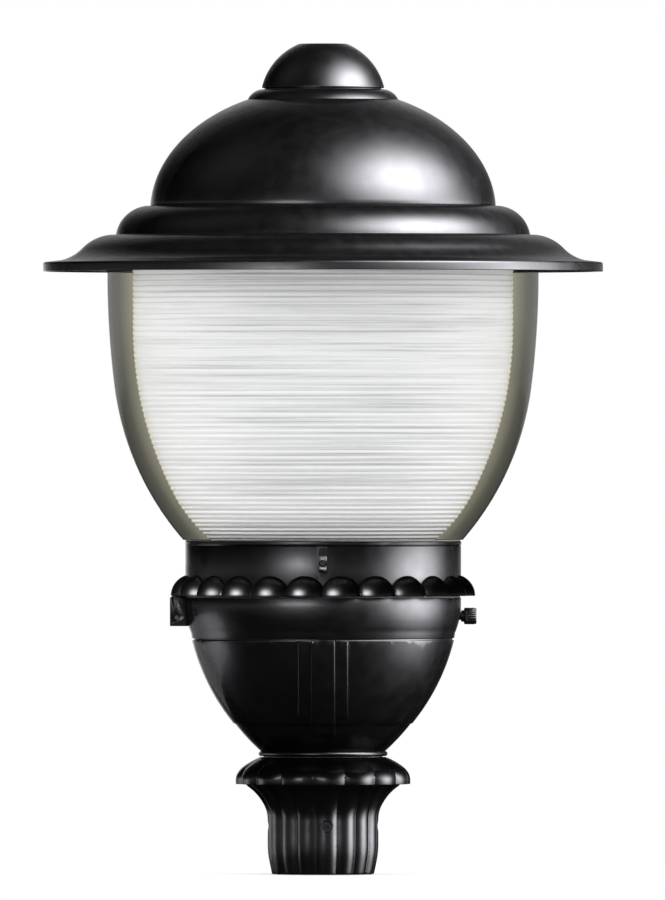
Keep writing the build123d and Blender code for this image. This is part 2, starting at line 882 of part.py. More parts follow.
def make_ballast_bracket():
    """A strap under the core with two feet screwed to the tray."""
    half = core_width / 2 + seat_gap
    wide = core_leg * 0.7
    low = tray_low - 2.5 - core_height - seat_gap - bracket_sheet
    strap = block((-half - bracket_sheet, half + bracket_sheet), (-wide, wide), (low, tray_low))
    strap -= block((-half, half), (-wide, wide), (low + bracket_sheet, tray_low))
    for side in (-1, 1):
        x = (side * half, side * (half + bracket_sheet + bracket_foot))
        strap += block(x, (-wide, wide), (tray_low - bracket_sheet, tray_low))
    for x, y in bracket_screw_places():
        strap -= rod(cover_screw_radius + screw_gap, tray_low - bracket_sheet, tray_low, x, y)
    return strap


def make_gear_screws():
    """The screws through the tray that hold the core's bracket and the capacitor's strap."""
    screw = pan_screw(cover_screw_radius, tray_thickness + bracket_sheet + 0.5)
    places = [*bracket_screw_places(), (0, capacitor_foot_place())]
    return group(Pos(x, y, tray_top) * screw for x, y in places)


def make_capacitor():
    top = tray_low - 1.0
    can = rod(capacitor_radius, top - capacitor_height, top, 0, capacitor_place)
    can = fillet(can.edges(), 2.0)
    for x in (-7.0, 7.0):
        can += block((x - 0.4, x + 0.4), (capacitor_place - 3, capacitor_place + 3), (top - capacitor_height - 6, top - capacitor_height))
    return can


def make_capacitor_strap():
    inner = capacitor_radius + seat_gap
    outer = inner + strap_sheet
    half = strap_width / 2
    far = capacitor_place + outer
    band_low = tray_low - 35.0
    strap = Pos(0, capacitor_place, 0) * tube(inner, outer, band_low, band_low + strap_band)
    strap += block((-half, half), (far - 2 * strap_sheet, far), (band_low, tray_low))
    strap += block((-half, half), (far - 2 * strap_sheet, far + strap_foot), (tray_low - strap_sheet, tray_low))
    strap -= rod(inner, 0, tray_low, 0, capacitor_place)
    return strap - rod(cover_screw_radius + screw_gap, 0, tray_low, 0, capacitor_foot_place())


def make_ignitor():
    length, width, height = ignitor_size
    case = fillet(Box(length, width, height).edges().filter_by(Axis.Z), 3.0)
    case = chamfer(case.edges().group_by(Axis.Z)[-1], 1.5)
    return Pos(*ignitor_place, tray_top + height / 2) * case


def make_terminal_block():
    length, width, height = terminal_size
    body = Pos(*terminal_place, tray_top) * block((-length / 2, length / 2), (-width / 2, width / 2), (0, height))
    pitch = length / terminal_poles
    for pole in range(terminal_poles):
        x = terminal_place[0] + (pole - (terminal_poles - 1) / 2) * pitch
        y = terminal_place[1]
        wall = pitch * 0.09
        body -= block((x - pitch / 2 + wall, x + pitch / 2 - wall), (y - width, y - width * 0.18), (tray_top + height * 0.45, tray_top + height))
        body -= block((x - pitch / 2 + wall, x + pitch / 2 - wall), (y + width * 0.18, y + width), (tray_top + height * 0.45, tray_top + height))
        body -= rod(2.4, tray_top + height * 0.6, tray_top + height, x, y)
    return body


def make_terminal_screws():
    length, width, height = terminal_size
    pitch = length / terminal_poles
    places = [(terminal_place[0] + (i - (terminal_poles - 1) / 2) * pitch, side) for i in range(terminal_poles) for side in (-1, 1)]
    screws = []
    for x, side in places:
        y = terminal_place[1] + side * width * 0.34
        screws.append(Pos(x, y, tray_top + height * 0.45) * (rod(3.0, 0, 2.2) - block((-4, 4), (-0.5, 0.5), (1.2, 2.2))))
    return group(screws)


def make_earth_stud():
    """A stud through the tray with a nut on each side."""
    stud = rod(earth_stud_radius, tray_low - 5.5, tray_top + earth_stud_height)
    stud += hexagon(5.0, tray_top, tray_top + 4.0) + hexagon(5.0, tray_low - 4.0, tray_low)
    stud += rod(6.5, tray_top + 6.0, tray_top + 7.2) + hexagon(5.0, tray_top + 7.2, tray_top + 11.2)
    return Pos(*earth_place, 0) * stud


def make_tray_grommet():
    lip = wire_hole_radius + grommet_lip
    inner = wire_hole_radius - grommet_lip
    return Pos(grommet_place, 0, 0) * turned(
        (inner, tray_low - 2),
        (lip, tray_low - 2),
        (lip, tray_low),
        (wire_hole_radius, tray_low),
        (wire_hole_radius, tray_top),
        (lip, tray_top),
        (lip, tray_top + 2),
        (inner, tray_top + 2),
    )


def make_cover_posts():
    post = hexagon(cover_post_radius, tray_top, cover_low)
    post -= rod(cover_screw_radius, cover_low - 12.0, cover_low)
    post += rod(cover_screw_radius, tray_low - 3.5, tray_top)
    return group(place * post for place in cover_post_places())


def make_gear_cover():
    cover = turned(
        (wire_hole_radius, cover_low),
        (cover_radius - cover_sheet, cover_low),
        (cover_radius - cover_sheet, cover_top - cover_edge),
        (cover_radius, cover_top - cover_edge),
        (cover_radius, cover_top),
        (wire_hole_radius, cover_top),
    )
    cover -= block((cover_notch_reach, cover_radius + 1), (-cover_notch / 2, cover_notch / 2), (tray_top, cover_top))
    for place in cover_post_places():
        cover -= place * rod(cover_screw_radius + screw_gap, cover_low, cover_top)
    for x in holder_foot_places():
        cover -= rod(cover_screw_radius + screw_gap, cover_low, cover_top, x)
    return cover


def make_cover_screws():
    """The screws that hold the cover on its posts and the lampholder's bracket on the cover."""
    screw = pan_screw(cover_screw_radius, cover_sheet + 9.0)
    places = [place * Pos(0, 0, cover_top) for place in cover_post_places()]
    places += [Pos(x, 0, cover_top + cover_sheet) for x in holder_foot_places()]
    return group(place * screw for place in places)


# ---------------------------------------------------------------- lampholder and lamp


def holder_foot_places():
    reach = holder_bracket_length / 2 + holder_bracket_foot / 2
    return (-reach, reach)


def make_holder_bracket():
    half, wide = holder_bracket_length / 2, holder_bracket_width / 2
    bridge = block((-half, half), (-wide, wide), (cover_top, holder_base))
    bridge -= block((-half + cover_sheet, half - cover_sheet), (-wide, wide), (cover_top, holder_base - cover_sheet))
    for side in (-1, 1):
        x = (side * (half - cover_sheet), side * (half + holder_bracket_foot))
        bridge += block(x, (-wide, wide), (cover_top, cover_top + cover_sheet))
    for x in holder_foot_places():
        bridge -= rod(cover_screw_radius + screw_gap, cover_top, cover_top + cover_sheet, x)
    return bridge - rod(holder_bore_radius * 0.6, holder_base - cover_sheet, holder_base)


def make_lampholder():
    top = holder_base + holder_height
    body = turned(
        (0, holder_base),
        (holder_foot_radius, holder_base),
        (holder_foot_radius, holder_base + holder_foot),
        (holder_radius, holder_base + holder_foot + 3),
        (holder_radius, top - 3),
        (holder_radius - 1.5, top),
        (holder_bore_radius, top),
        (holder_bore_radius, top - holder_bore_depth),
        (0, top - holder_bore_depth),
    )
    return body


def make_lampholder_contacts():
    """The screw shell that grips the lamp's cap, and the contact under it."""
    top = holder_base + holder_height - 1.5
    low = holder_base + holder_height - holder_bore_depth
    outer = holder_bore_radius - seat_gap
    contact = rod(4.0, low, lamp_base - seat_gap) + rod(6.5, low, low + 0.8)
    return group([tube(outer - shell_wall, outer, low + 1.0, top), contact])


def make_lamp_cap():
    """Screw cap of the lamp: rolled threads, an insulator and a contact."""
    threads, pitch = 6, 3.6
    steps = [(0, lamp_base), (4.5, lamp_base), (lamp_cap_radius - 3.0, lamp_base + 3.0)]
    low = lamp_base + 3.6
    steps.append((lamp_cap_radius - 1.1, low))
    for i in range(threads):
        steps.append((lamp_cap_radius - 1.1, low + (i + 1) * pitch, 1.0))
    top = low + threads * pitch
    steps += [(lamp_cap_radius - 1.1, top + 1.5), (0, top + 1.5)]
    return turned(*steps)


def bulb_steps(shrink):
    """The bulb's side from its neck to its tip, moved inwards by shrink. Its crown is part of a ball."""
    neck, tip = lamp_base + lamp_cap_height + 0.8, lamp_base + lamp_length - shrink
    ball = (lamp_crown_radius**2 + lamp_crown**2) / (2 * lamp_crown)
    share = (ball - shrink) / ball
    crown = (lamp_crown_radius * share, tip - lamp_crown * share)
    return [
        (lamp_neck_radius - shrink, neck),
        (lamp_neck_radius + 1.0 - shrink, neck + lamp_neck_radius * 1.4),
        (lamp_radius - shrink, lamp_base + lamp_widest, 2.4),
        (*crown, 3.4),
        (0, tip, bulge_of(crown, (0, tip), ball - shrink)),
    ]


def make_lamp_envelope():
    """The lamp's bulb, open where its neck is cemented into the cap."""
    outer, inner = bulb_steps(0.0), bulb_steps(lamp_glass)
    return turned((0, outer[0][1]), *outer) - turned((0, inner[0][1]), *inner)


def make_arc_tube():
    """The quartz burner on its stem."""
    middle = lamp_base + lamp_widest - 8.0
    half = arc_tube_length / 2
    burner = fillet(rod(arc_tube_radius, middle - half, middle + half).edges(), 3.0)
    stem_low = lamp_base + lamp_cap_height + 0.7
    return burner + rod(2.0, stem_low, middle - half + 1) + rod(1.4, middle + half - 1, middle + half + 8)


# ---------------------------------------------------------------- collar


def make_globe_collar():
    """A ring with a seat inside for the globe and refractor, and three slots for the globe's screws."""
    lip_low = collar_top - collar_lip
    seat_low = head_base + seat_height
    face = outline(
        (collar_inner, head_base),
        (band_radius, head_base),
        (band_radius, lip_low - collar_lip_groove),
        (band_radius - collar_lip_groove, lip_low - collar_lip_groove),
        (band_radius - collar_lip_groove, lip_low),
        (band_radius, lip_low),
        (band_radius, collar_top),
        (collar_inner, collar_top),
        (collar_inner, seat_top),
        (seat_radius, seat_top),
        (seat_radius, seat_low),
        (collar_inner, seat_low),
    )
    collar = revolve(rounded(face, 1.0, (band_radius, collar_top)), Axis.Z)
    height = (head_base + slot_low, collar_top - slot_top_margin)
    for turn in slot_turns:
        slot = block((collar_inner - 1, band_radius + 1), (-slot_width / 2, slot_width / 2), height)
        slot &= rod(band_radius + 1, 0, collar_top) - rod(collar_inner, 0, collar_top)
        collar -= turn_to(turn) * slot
        collar -= turn_to(turn) * rod(tab_screw_radius, seat_low, seat_top, clip_screw_circle())
    for place in [*lug_screw_places(), *tab_screw_places()]:
        collar -= place * rod(tab_screw_radius + screw_gap, -11.5, 0)
    return collar


def make_scallop_ring():
    """A ring of half-round scallops round the collar, flat underneath."""
    inner = band_radius + scallop_fit
    turns = circle_of(scallop_count, 180.0 / scallop_count)
    domes = [turn_to(turn) * Pos(scallop_centre, 0, head_base) * Sphere(scallop_radius) for turn in turns]
    ring = domes[0].fuse(*domes[1:])
    top = head_base + scallop_radius
    ring = ring & tube(inner, scallop_centre + scallop_radius + 1, head_base, top)
    ring -= lug_pocket(0.05)
    return ring


def clip_screw_circle():
    return globe_neck_radius - globe_wall - clip_foot + 2.0


def make_neck_clips():
    """Angle pieces on the seat, inside the globe's neck, that take the screws seen in the slots."""
    far = globe_neck_radius - globe_wall - 0.5
    half = clip_width / 2
    leg = block((far - clip_thickness, far), (-half, half), (seat_top, seat_top + clip_height))
    foot = block((far - clip_foot, far), (-half, half), (seat_top, seat_top + clip_thickness))
    clip = leg + foot
    clip &= rod(far, seat_top, seat_top + clip_height)
    clip -= rod(tab_screw_radius + screw_gap, seat_top, seat_top + clip_thickness, clip_screw_circle())
    hole = Rot(0, 90, 0) * rod(slot_screw_radius + 0.02, 0, far + 1)
    clip -= Pos(0, 0, head_base + slot_screw_height) * hole
    return group(turn_to(turn) * clip for turn in slot_turns)


def make_collar_screws():
    length = globe_wall + clip_thickness + 1.5
    screw = pan_screw(slot_screw_radius, length, slot_screw_head, slot_screw_head_height)
    radius = globe_neck_radius + 0.3
    return group(outward(turn, radius, head_base + slot_screw_height) * screw for turn in slot_turns)


# ---------------------------------------------------------------- globe and refractor


def make_globe_gasket():
    outer = band_radius - 0.5
    return tube(outer - globe_gasket_width, outer, collar_top, globe_base)


def bell_wire(radius, top, straight, knee_radius, knee, foot_radius, foot):
    """Straight side, then two arcs that run into each other, from the top down."""
    side = Line((radius, 0, top), (radius, 0, straight))
    upper = TangentArc((radius, 0, straight), (knee_radius, 0, knee), tangent=(0, 0, -1))
    lower = TangentArc(upper @ 1, (foot_radius, 0, foot), tangent=upper % 1)
    return Wire([side, upper, lower])


def make_globe():
    """A clear bell with a flat shoulder that stands on the collar, and a neck inside it."""
    bell = bell_wire(
        globe_radius,
        globe_top,
        globe_top - globe_straight,
        globe_radius - globe_knee_step,
        globe_base + globe_knee,
        globe_shoulder,
        globe_base,
    )
    wall = revolve(Face(bell.offset_2d(globe_wall, side=Side.RIGHT, closed=True)), Axis.Z)
    wall &= rod(globe_radius, globe_base, globe_top)
    shoulder = tube(globe_neck_radius - globe_wall, globe_shoulder - 0.2, globe_base, globe_base + globe_wall)
    neck_low = seat_top + globe_neck_clear
    neck = tube(globe_neck_radius - globe_wall, globe_neck_radius, neck_low, globe_base)
    globe = wall + shoulder + neck
    for turn in slot_turns:
        hole = Rot(0, 90, 0) * rod(slot_screw_radius + seat_gap, 0, globe_neck_radius + 1)
        globe -= turn_to(turn) * Pos(0, 0, head_base + slot_screw_height) * hole
    for turn in circle_of(rim_screw_count, 30.0):
        hole = Rot(0, 90, 0) * rod(rim_screw_radius + seat_gap, globe_radius - 2 * globe_wall, globe_radius + 1)
        globe -= turn_to(turn) * Pos(0, 0, globe_top - rim_screw_drop) * hole
    return globe


def make_refractor():
    """The inner bell, with level prisms all down its outside."""
    bell = bell_wire(
        refractor_radius,
        globe_top,
        globe_top - refractor_straight,
        refractor_radius - refractor_knee_step,
        globe_base + refractor_knee,
        refractor_neck_radius,
        globe_base + refractor_foot,
    )
    teeth = []
    for i in range(prism_count):
        for share, depth in ((0.0, 0.0), (prism_lean, prism_depth)):
            place = (i + share) / prism_count
            way = bell % place
            teeth.append(bell @ place + Vector(way.Z, 0, -way.X) * -depth * -1)
    foot = seat_top + refractor_seal
    neck = refractor_neck_radius - refractor_wall
    inside = bell.offset_2d(refractor_wall, side=Side.RIGHT, closed=False)
    ends = sorted([inside @ 0, inside @ 1], key=lambda p: p.Z)
    teeth += [bell @ 1, Vector(refractor_neck_radius, 0, foot), Vector(neck, 0, foot), ends[0]]
    edges = [Line(a, b) for a, b in zip(teeth, teeth[1:])]
    edges += [*inside.edges(), Line(ends[1], teeth[0])]
    return revolve(Face(Wire(edges)), Axis.Z)


def make_refractor_seal():
    inner = refractor_neck_radius - refractor_wall / 2 - refractor_seal_width / 2
    return tube(inner, inner + refractor_seal_width, seat_top, seat_top + refractor_seal)


def make_refractor_gasket():
    middle = refractor_radius - refractor_wall / 2
    half = rim_gasket_width / 2
    return tube(middle - half, middle + half, globe_top, web_low)


# ---------------------------------------------------------------- hood


def sheet_outline(path, sheet):
    """The outline of a spun sheet: path is its outer side, and its inner side lies in and down."""
    inner = [(r - sheet, z - sheet) for r, z, *_ in path]
    inner[0] = (inner[0][0], path[0][1])
    back = [inner[-1]]
    for i in range(len(path) - 1, 0, -1):
        bend = [-path[i][2]] if len(path[i]) == 3 else []
        back.append((*inner[i - 1], *bend))
    return outline(*path, *back)


def make_hood_skirt():
    """Down-turned rim, ogee and bead, spun in one piece."""
    rim = (rim_radius, flange_top)
    path = [
        (rim_radius, hood_base),
        rim,
        (flange_radius, flange_top + flange_rise),
        (ogee_knee_radius, hood_base + ogee_knee, -ogee_hollow),
        (ogee_radius, bead_base, ogee_swell),
        (bead_radius, bead_base),
        (bead_top_radius, dome_base, bead_swell),
        (hood_flange_radius, dome_base),
    ]
    face = rounded(sheet_outline(path, hood_sheet), rim_round, rim)
    face = rounded(face, hood_sheet * 0.4, (rim_radius, hood_base), (rim_radius - hood_sheet, hood_base))
    skirt = revolve(face, Axis.Z)
    for turn in circle_of(soffit_screw_count, 30.0):
        hole = rod(soffit_screw_radius, 0, flange_top, soffit_screw_circle)
        skirt -= turn_to(turn) * hole
    for place in rivet_places():
        skirt -= place * rod(dome_rivet_radius, -hood_sheet, 0)
    return skirt


def soffit_low():
    return flange_top - hood_sheet - soffit_sheet


def make_soffit_ring():
    """Closes the hood under its rim, and steps up to sit over the globe and refractor."""
    riser = globe_radius + soffit_gap
    low = soffit_low()
    ring = turned(
        (riser, low),
        (soffit_radius, low),
        (soffit_radius, low + soffit_sheet),
        (riser + soffit_sheet, low + soffit_sheet),
        (riser + soffit_sheet, web_top),
        (soffit_inner, web_top),
        (soffit_inner, web_low),
        (riser, web_low),
    )
    for turn in circle_of(soffit_screw_count, 30.0):
        hole = rod(soffit_screw_radius + screw_gap, low, low + soffit_sheet, soffit_screw_circle)
        ring -= turn_to(turn) * hole
    for turn in circle_of(rim_screw_count, 30.0):
        hole = Rot(0, 90, 0) * rod(rim_screw_radius + screw_gap, globe_radius, riser + 2 * soffit_sheet)
        ring -= turn_to(turn) * Pos(0, 0, globe_top - rim_screw_drop) * hole
    for place in reflector_screw_places():
        ring -= place * rod(cover_screw_radius, web_low, web_top)
    return ring


def make_soffit_screws():
    screw = Rot(180, 0, 0) * pan_screw(soffit_screw_radius, soffit_sheet + hood_sheet)
    return group(
        turn_to(turn) * Pos(soffit_screw_circle, 0, soffit_low()) * screw
        for turn in circle_of(soffit_screw_count, 30.0)
    )


def make_globe_screws():
    screw = pan_screw(rim_screw_radius, soffit_gap + soffit_sheet + globe_wall - 0.5)
    radius = globe_radius + soffit_gap + soffit_sheet
    return group(
        outward(turn, radius, globe_top - rim_screw_drop) * screw for turn in circle_of(rim_screw_count, 30.0)
    )


def make_globe_rim_gasket():
    outer = globe_radius + soffit_gap - seat_gap
    return tube(outer - rim_gasket_width, outer, globe_top, web_low)


def reflector_screw_places():
    radius = soffit_inner + reflector_gap + reflector_flange / 2
    return [turn_to(turn) * Pos(radius, 0, 0) for turn in circle_of(reflector_screw_count, 45.0)]


def make_reflector():
    """A white spun reflector that closes the top of the lamp space."""
    inner = soffit_inner + reflector_gap
    knee = (inner - reflector_slope, web_top + reflector_rise)
    top = web_top + reflector_height
    reflector = turned(
        (inner, web_top),
        (inner + reflector_flange, web_top),
        (inner + reflector_flange, web_top + reflector_sheet),
        (inner, web_top + reflector_sheet),
        (knee[0], knee[1] + reflector_sheet),
        (reflector_top_radius, top + reflector_sheet),
        (0, top + reflector_sheet),
        (0, top),
        (reflector_top_radius, top),
        knee,
    )
    for place in reflector_screw_places():
        reflector -= place * rod(cover_screw_radius + screw_gap, web_top, web_top + reflector_sheet)
    return reflector


def make_reflector_screws():
    screw = pan_screw(cover_screw_radius, reflector_sheet + soffit_sheet)
    return group(place * Pos(0, 0, web_top + reflector_sheet) * screw for place in reflector_screw_places())


def oval(shrink):
    """The solid of revolution of the dome's oval, made smaller all round by shrink."""
    middle = dome_base - dome_sink
    plane = Plane(origin=(0, 0, middle), x_dir=(1, 0, 0), z_dir=(0, -1, 0))
    arc = plane * EllipticalCenterArc(
        (0, 0), dome_radius - shrink, dome_half_height - shrink, start_angle=0, arc_size=90
    )
    edges = [arc, Line(arc @ 1, (0, 0, middle)), Line((0, 0, middle), arc @ 0)]
    return revolve(Face(Wire(edges)), Axis.Z)


def rivet_places():
    return [turn_to(turn) * Pos(dome_rivet_circle, 0, dome_base) for turn in circle_of(dome_rivet_count, 22.5)]


def make_hood_dome():
    """A spun half oval with its edge turned in over the skirt."""
    above = rod(dome_radius, dome_base, dome_base + dome_half_height)
    dome = (oval(0.0) - oval(dome_sheet)) & above
    edge = rod(dome_radius, dome_base, dome_base + dome_sheet) - rod(hood_flange_radius, 0, finial_base)
    dome += edge & oval(0.0)
    dome -= rod(finial_stud_radius + screw_gap, dome_base, finial_base + dome_half_height)
    for place in rivet_places():
        dome -= place * rod(dome_rivet_radius, 0, dome_sheet)
    return dome


def make_dome_rivets():
    head = dome_rivet_radius * 1.8
    rivet = rod(dome_rivet_radius, -hood_sheet, dome_sheet)
    rivet += rod(head, dome_sheet, dome_sheet + 1.2) + rod(head, -hood_sheet - 1.2, -hood_sheet)
    return group(place * rivet for place in rivet_places())


# ---------------------------------------------------------------- finial


def make_finial_ring():
    """Moulded ring on the dome, under the finial. Its underside follows the dome."""
    neck = finial_base_radius - finial_groove_depth
    ring = turned(
        (ring_bore, dome_base),
        (ring_radius, dome_base),
        (ring_radius, ring_top - ring_low * 3),
        (ring_top_radius, ring_top, ring_swell),
        (neck, ring_top),
        (neck, finial_base),
        (ring_bore, finial_base),
    )
    return ring - oval(0.0)


def make_finial():
    """A hollow ball cut flat above and below, with a boss inside for its stud."""
    depth = sqrt(finial_sphere**2 - finial_base_radius**2)
    top = finial_base - depth + sqrt(finial_sphere**2 - finial_flat_radius**2)
    inner = finial_sphere - finial_wall
    roof = top - finial_wall
    low_edge = (sqrt(inner**2 - depth**2), finial_base)
    high_edge = (sqrt(inner**2 - (roof - finial_base + depth) ** 2), roof)
    outer = [(finial_base_radius, finial_base), (finial_flat_radius, top)]
    boss_low = finial_base + 1.4
    face = outline(
        outer[0],
        (*outer[1], bulge_of(*outer, finial_sphere)),
        (0, top),
        (0, boss_low),
        (finial_boss, boss_low),
        (finial_boss, roof),
        high_edge,
        (*low_edge, -bulge_of(high_edge, low_edge, inner)),
    )
    finial = revolve(rounded(face, 1.2, outer[1]), Axis.Z)
    return finial - rod(finial_stud_radius, boss_low, boss_low + finial_stud_grip + 2.0)


def dome_apex():
    return dome_base - dome_sink + dome_half_height


def make_finial_stud():
    low = dome_apex() - dome_sheet - finial_washer[1] - finial_nut_height - 4.0
    return chamfer(rod(finial_stud_radius, low, finial_base + 1.4 + finial_stud_grip).edges(), 0.8)


def make_finial_nut():
    washer_top = dome_apex() - dome_sheet - 0.4
    nut_top = washer_top - finial_washer[1]
    washer = tube(finial_stud_radius, finial_washer[0], nut_top, washer_top)
    nut = hexagon(finial_stud_radius * 1.7, nut_top - finial_nut_height, nut_top)
    return group([washer, nut - rod(finial_stud_radius, 0, nut_top)])


# ---------------------------------------------------------------- write each piece

MAKERS = [
    make_post_fitter,
    make_fitter_set_screws,
    make_neck_gasket,
    make_neck_bolts,
    make_ballast_housing,
    make_housing_seal,
    make_hinge_block,
    make_hinge_pin,
    make_hinge_block_screws,
    make_hinge_lug,
    make_thumb_screw,
    make_latch_retainer,
    make_clamp_nut,
    make_latch_tab,
    make_head_screws,
    make_gear_tray,
    make_tray_screws,
    make_ballast_core,
    make_ballast_coil,
    make_ballast_bracket,
    make_gear_screws,
    make_capacitor,
    make_capacitor_strap,
    make_ignitor,
    make_terminal_block,
    make_terminal_screws,
    make_earth_stud,
    make_tray_grommet,
    make_cover_posts,
    make_gear_cover,
    make_cover_screws,
    make_holder_bracket,
    make_lampholder,
    make_lampholder_contacts,
    make_lamp_cap,
    make_lamp_envelope,
    make_arc_tube,
    make_globe_collar,
    make_scallop_ring,
    make_neck_clips,
    make_collar_screws,
    make_globe_gasket,
    make_globe,
    make_refractor,
    make_refractor_seal,
    make_refractor_gasket,
    make_hood_skirt,
    make_soffit_ring,
    make_soffit_screws,
    make_globe_screws,
    make_globe_rim_gasket,
    make_reflector,
    make_reflector_screws,
    make_hood_dome,
    make_dome_rivets,
    make_finial_ring,
    make_finial,
    make_finial_stud,
    make_finial_nut,
]

os.makedirs("parts", exist_ok=True)
for make in MAKERS:
    name = make.__name__.removeprefix("make_")
    export_step(make(), f"parts/{name}.step")
print(len(MAKERS), "pieces written")
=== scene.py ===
# %% [markdown]
# # The looks of a post top lantern
# The lantern is already built as a CAD model, with every piece in its place and a hinge for its head.
# This notebook keeps that model as a fixed frame and makes its looks: metal that is spun, cast and painted
# black, a clear globe, a ribbed refractor inside it, and the gear that shows when the head is tipped open.
# Everything is in metres, with the lantern standing along Z and its front facing the camera.

import math

import bpy
import numpy as np
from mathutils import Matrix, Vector


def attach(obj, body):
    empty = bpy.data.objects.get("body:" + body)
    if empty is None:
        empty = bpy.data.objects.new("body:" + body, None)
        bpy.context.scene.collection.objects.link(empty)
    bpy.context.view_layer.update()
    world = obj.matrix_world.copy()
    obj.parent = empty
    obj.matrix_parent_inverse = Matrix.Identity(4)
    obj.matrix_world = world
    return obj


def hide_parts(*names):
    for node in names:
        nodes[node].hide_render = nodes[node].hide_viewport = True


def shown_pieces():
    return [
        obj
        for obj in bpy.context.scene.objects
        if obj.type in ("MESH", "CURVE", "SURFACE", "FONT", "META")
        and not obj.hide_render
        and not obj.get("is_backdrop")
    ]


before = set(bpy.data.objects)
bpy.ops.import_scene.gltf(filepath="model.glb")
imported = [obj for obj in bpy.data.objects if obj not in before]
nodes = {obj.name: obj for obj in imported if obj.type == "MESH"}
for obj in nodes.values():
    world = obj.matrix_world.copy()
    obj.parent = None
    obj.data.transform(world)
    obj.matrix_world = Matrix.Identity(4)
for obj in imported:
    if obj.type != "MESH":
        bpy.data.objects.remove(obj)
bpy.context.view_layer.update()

# %% [markdown]
# ## Camera
# The photograph was taken level with the middle of the lantern and from far away, because the rims of the
# hood and collar show as straight lines. A very long lens from 25 m gives that flat, level view. The
# sensor's size goes with the picture's long side, which is its height.

# %% A long lens, level with the lantern
camera_place = (0.0095, -25.0, 0.4240)
view_height = 0.900
sensor = 36.0
lens = sensor * abs(camera_place[1]) / view_height

camera_data = bpy.data.cameras.new("photo_camera")
camera_data.sensor_width = sensor
camera_data.lens = lens
camera_data.clip_end = 200.0
camera = bpy.data.objects.new("photo_camera", camera_data)
camera.location = camera_place
camera.rotation_euler = (math.radians(90), 0, 0)
bpy.context.scene.collection.objects.link(camera)
bpy.context.scene.camera = camera
print("lens", round(lens, 1), "mm")

# %% [markdown]
# ## Studio
# Gloss paint is drawn by what it mirrors, so the studio matters as much as the paint. The world, the floor,
# the lamps and all finishes are built from nodes, so a few short helpers come first: each adds one node,
# sets it and links it.

# %% Helpers for nodes
def node(tree, kind, **sockets):
    """Adds a node, and sets its input sockets by name."""
    made = tree.nodes.new(kind)
    for name, value in sockets.items():
        made.inputs[name.replace("_", " ")].default_value = value
    return made


def maths(tree, operation, first, second=None):
    """A Math node on sockets or numbers. Returns its result."""
    made = tree.nodes.new("ShaderNodeMath")
    made.operation = operation
    for slot, value in zip(made.inputs, (first, second)):
        if value is None:
            continue
        if isinstance(value, (int, float)):
            slot.default_value = value
        else:
            tree.links.new(value, slot)
    return made.outputs[0]


def remapped(tree, value, ends, results=(0.0, 1.0), smooth=False):
    """Maps a value between two ends to two results, and holds it there outside them."""
    made = tree.nodes.new("ShaderNodeMapRange")
    if smooth:
        made.interpolation_type = "SMOOTHSTEP"
    tree.links.new(value, made.inputs["Value"])
    for name, number in zip(("From Min", "From Max", "To Min", "To Max"), (*ends, *results)):
        made.inputs[name].default_value = number
    return made.outputs["Result"]


def shader_mix(tree, share, first, second):
    """Mixes two shader nodes. The share of the second is a socket or a number."""
    made = tree.nodes.new("ShaderNodeMixShader")
    if isinstance(share, float):
        made.inputs[0].default_value = share
    else:
        tree.links.new(share, made.inputs[0])
    tree.links.new(first.outputs[0], made.inputs[1])
    tree.links.new(second.outputs[0], made.inputs[2])
    return made.outputs[0]


print("helpers for nodes ready")

# %% [markdown]
# The world is plain and even for soft light, and white where the camera looks at it. Mirror rays see that
# white only in a band near the horizon, as round a real table with a dark ceiling above it: paint stays deep
# black on top, and glass still has a bright ground to stand on. Lamps then add the few clear highlights.

# %% A world that is even for light and white behind
soft_light = 0.80
band_low, band_high = 0.02, 0.10  # sine of the height where the white band starts and ends its fade
mirror_dark = 0.012

world = bpy.data.worlds.new("studio")
bpy.context.scene.world = world
world.use_nodes = True
tree = world.node_tree
tree.nodes.clear()

path = node(tree, "ShaderNodeLightPath")
place = node(tree, "ShaderNodeTexCoord")
split = node(tree, "ShaderNodeSeparateXYZ")
tree.links.new(place.outputs["Generated"], split.inputs[0])
height = maths(tree, "ABSOLUTE", split.outputs["Z"])
fade = remapped(tree, height, (band_low, band_high), (1.0, mirror_dark), smooth=True)
camera_ray = path.outputs["Is Camera Ray"]
mirrored = maths(tree, "MAXIMUM", path.outputs["Is Glossy Ray"], path.outputs["Is Transmission Ray"])
seen = maths(tree, "ADD", camera_ray, maths(tree, "MULTIPLY", mirrored, fade))
plain = maths(tree, "SUBTRACT", 1.0, maths(tree, "MAXIMUM", camera_ray, mirrored))
strength = maths(tree, "ADD", seen, maths(tree, "MULTIPLY", plain, soft_light))
ground = node(tree, "ShaderNodeBackground", Color=(1, 1, 1, 1))
tree.links.new(strength, ground.inputs["Strength"])
world_out = node(tree, "ShaderNodeOutputWorld")
tree.links.new(ground.outputs[0], world_out.inputs["Surface"])
band_degrees = round(math.degrees(math.asin(band_high)), 1)
print("world: even light", soft_light, "and a white band up to", band_degrees, "degrees")

# %% [markdown]
# The floor is a disc at the lantern's foot. It is pale and takes the lantern's shadow. It adds just enough
# of its own light to meet the white of the world, and it fades out towards its edge, so that no edge shows.
# Seen from below it is clear, so that views from under the lantern aren't blocked. Gloss mirrors a small
# share of it only, as when a photographer lays dark card round a glossy product to keep its paint deep.

# %% Floor disc
def deselect():
    """Leaves edit mode, and leaves nothing selected."""
    if bpy.context.mode != "OBJECT":
        bpy.ops.object.mode_set(mode="OBJECT")
    bpy.ops.object.select_all(action="DESELECT")


floor_radius, floor_drop = 0.7, 0.0005
deselect()
bpy.ops.mesh.primitive_circle_add(
    vertices=96, radius=floor_radius, fill_type="NGON", location=(0, 0, -floor_drop)
)
floor = bpy.context.object
floor.name = "floor"
floor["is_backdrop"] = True
print("floor", floor_radius, "m in radius")

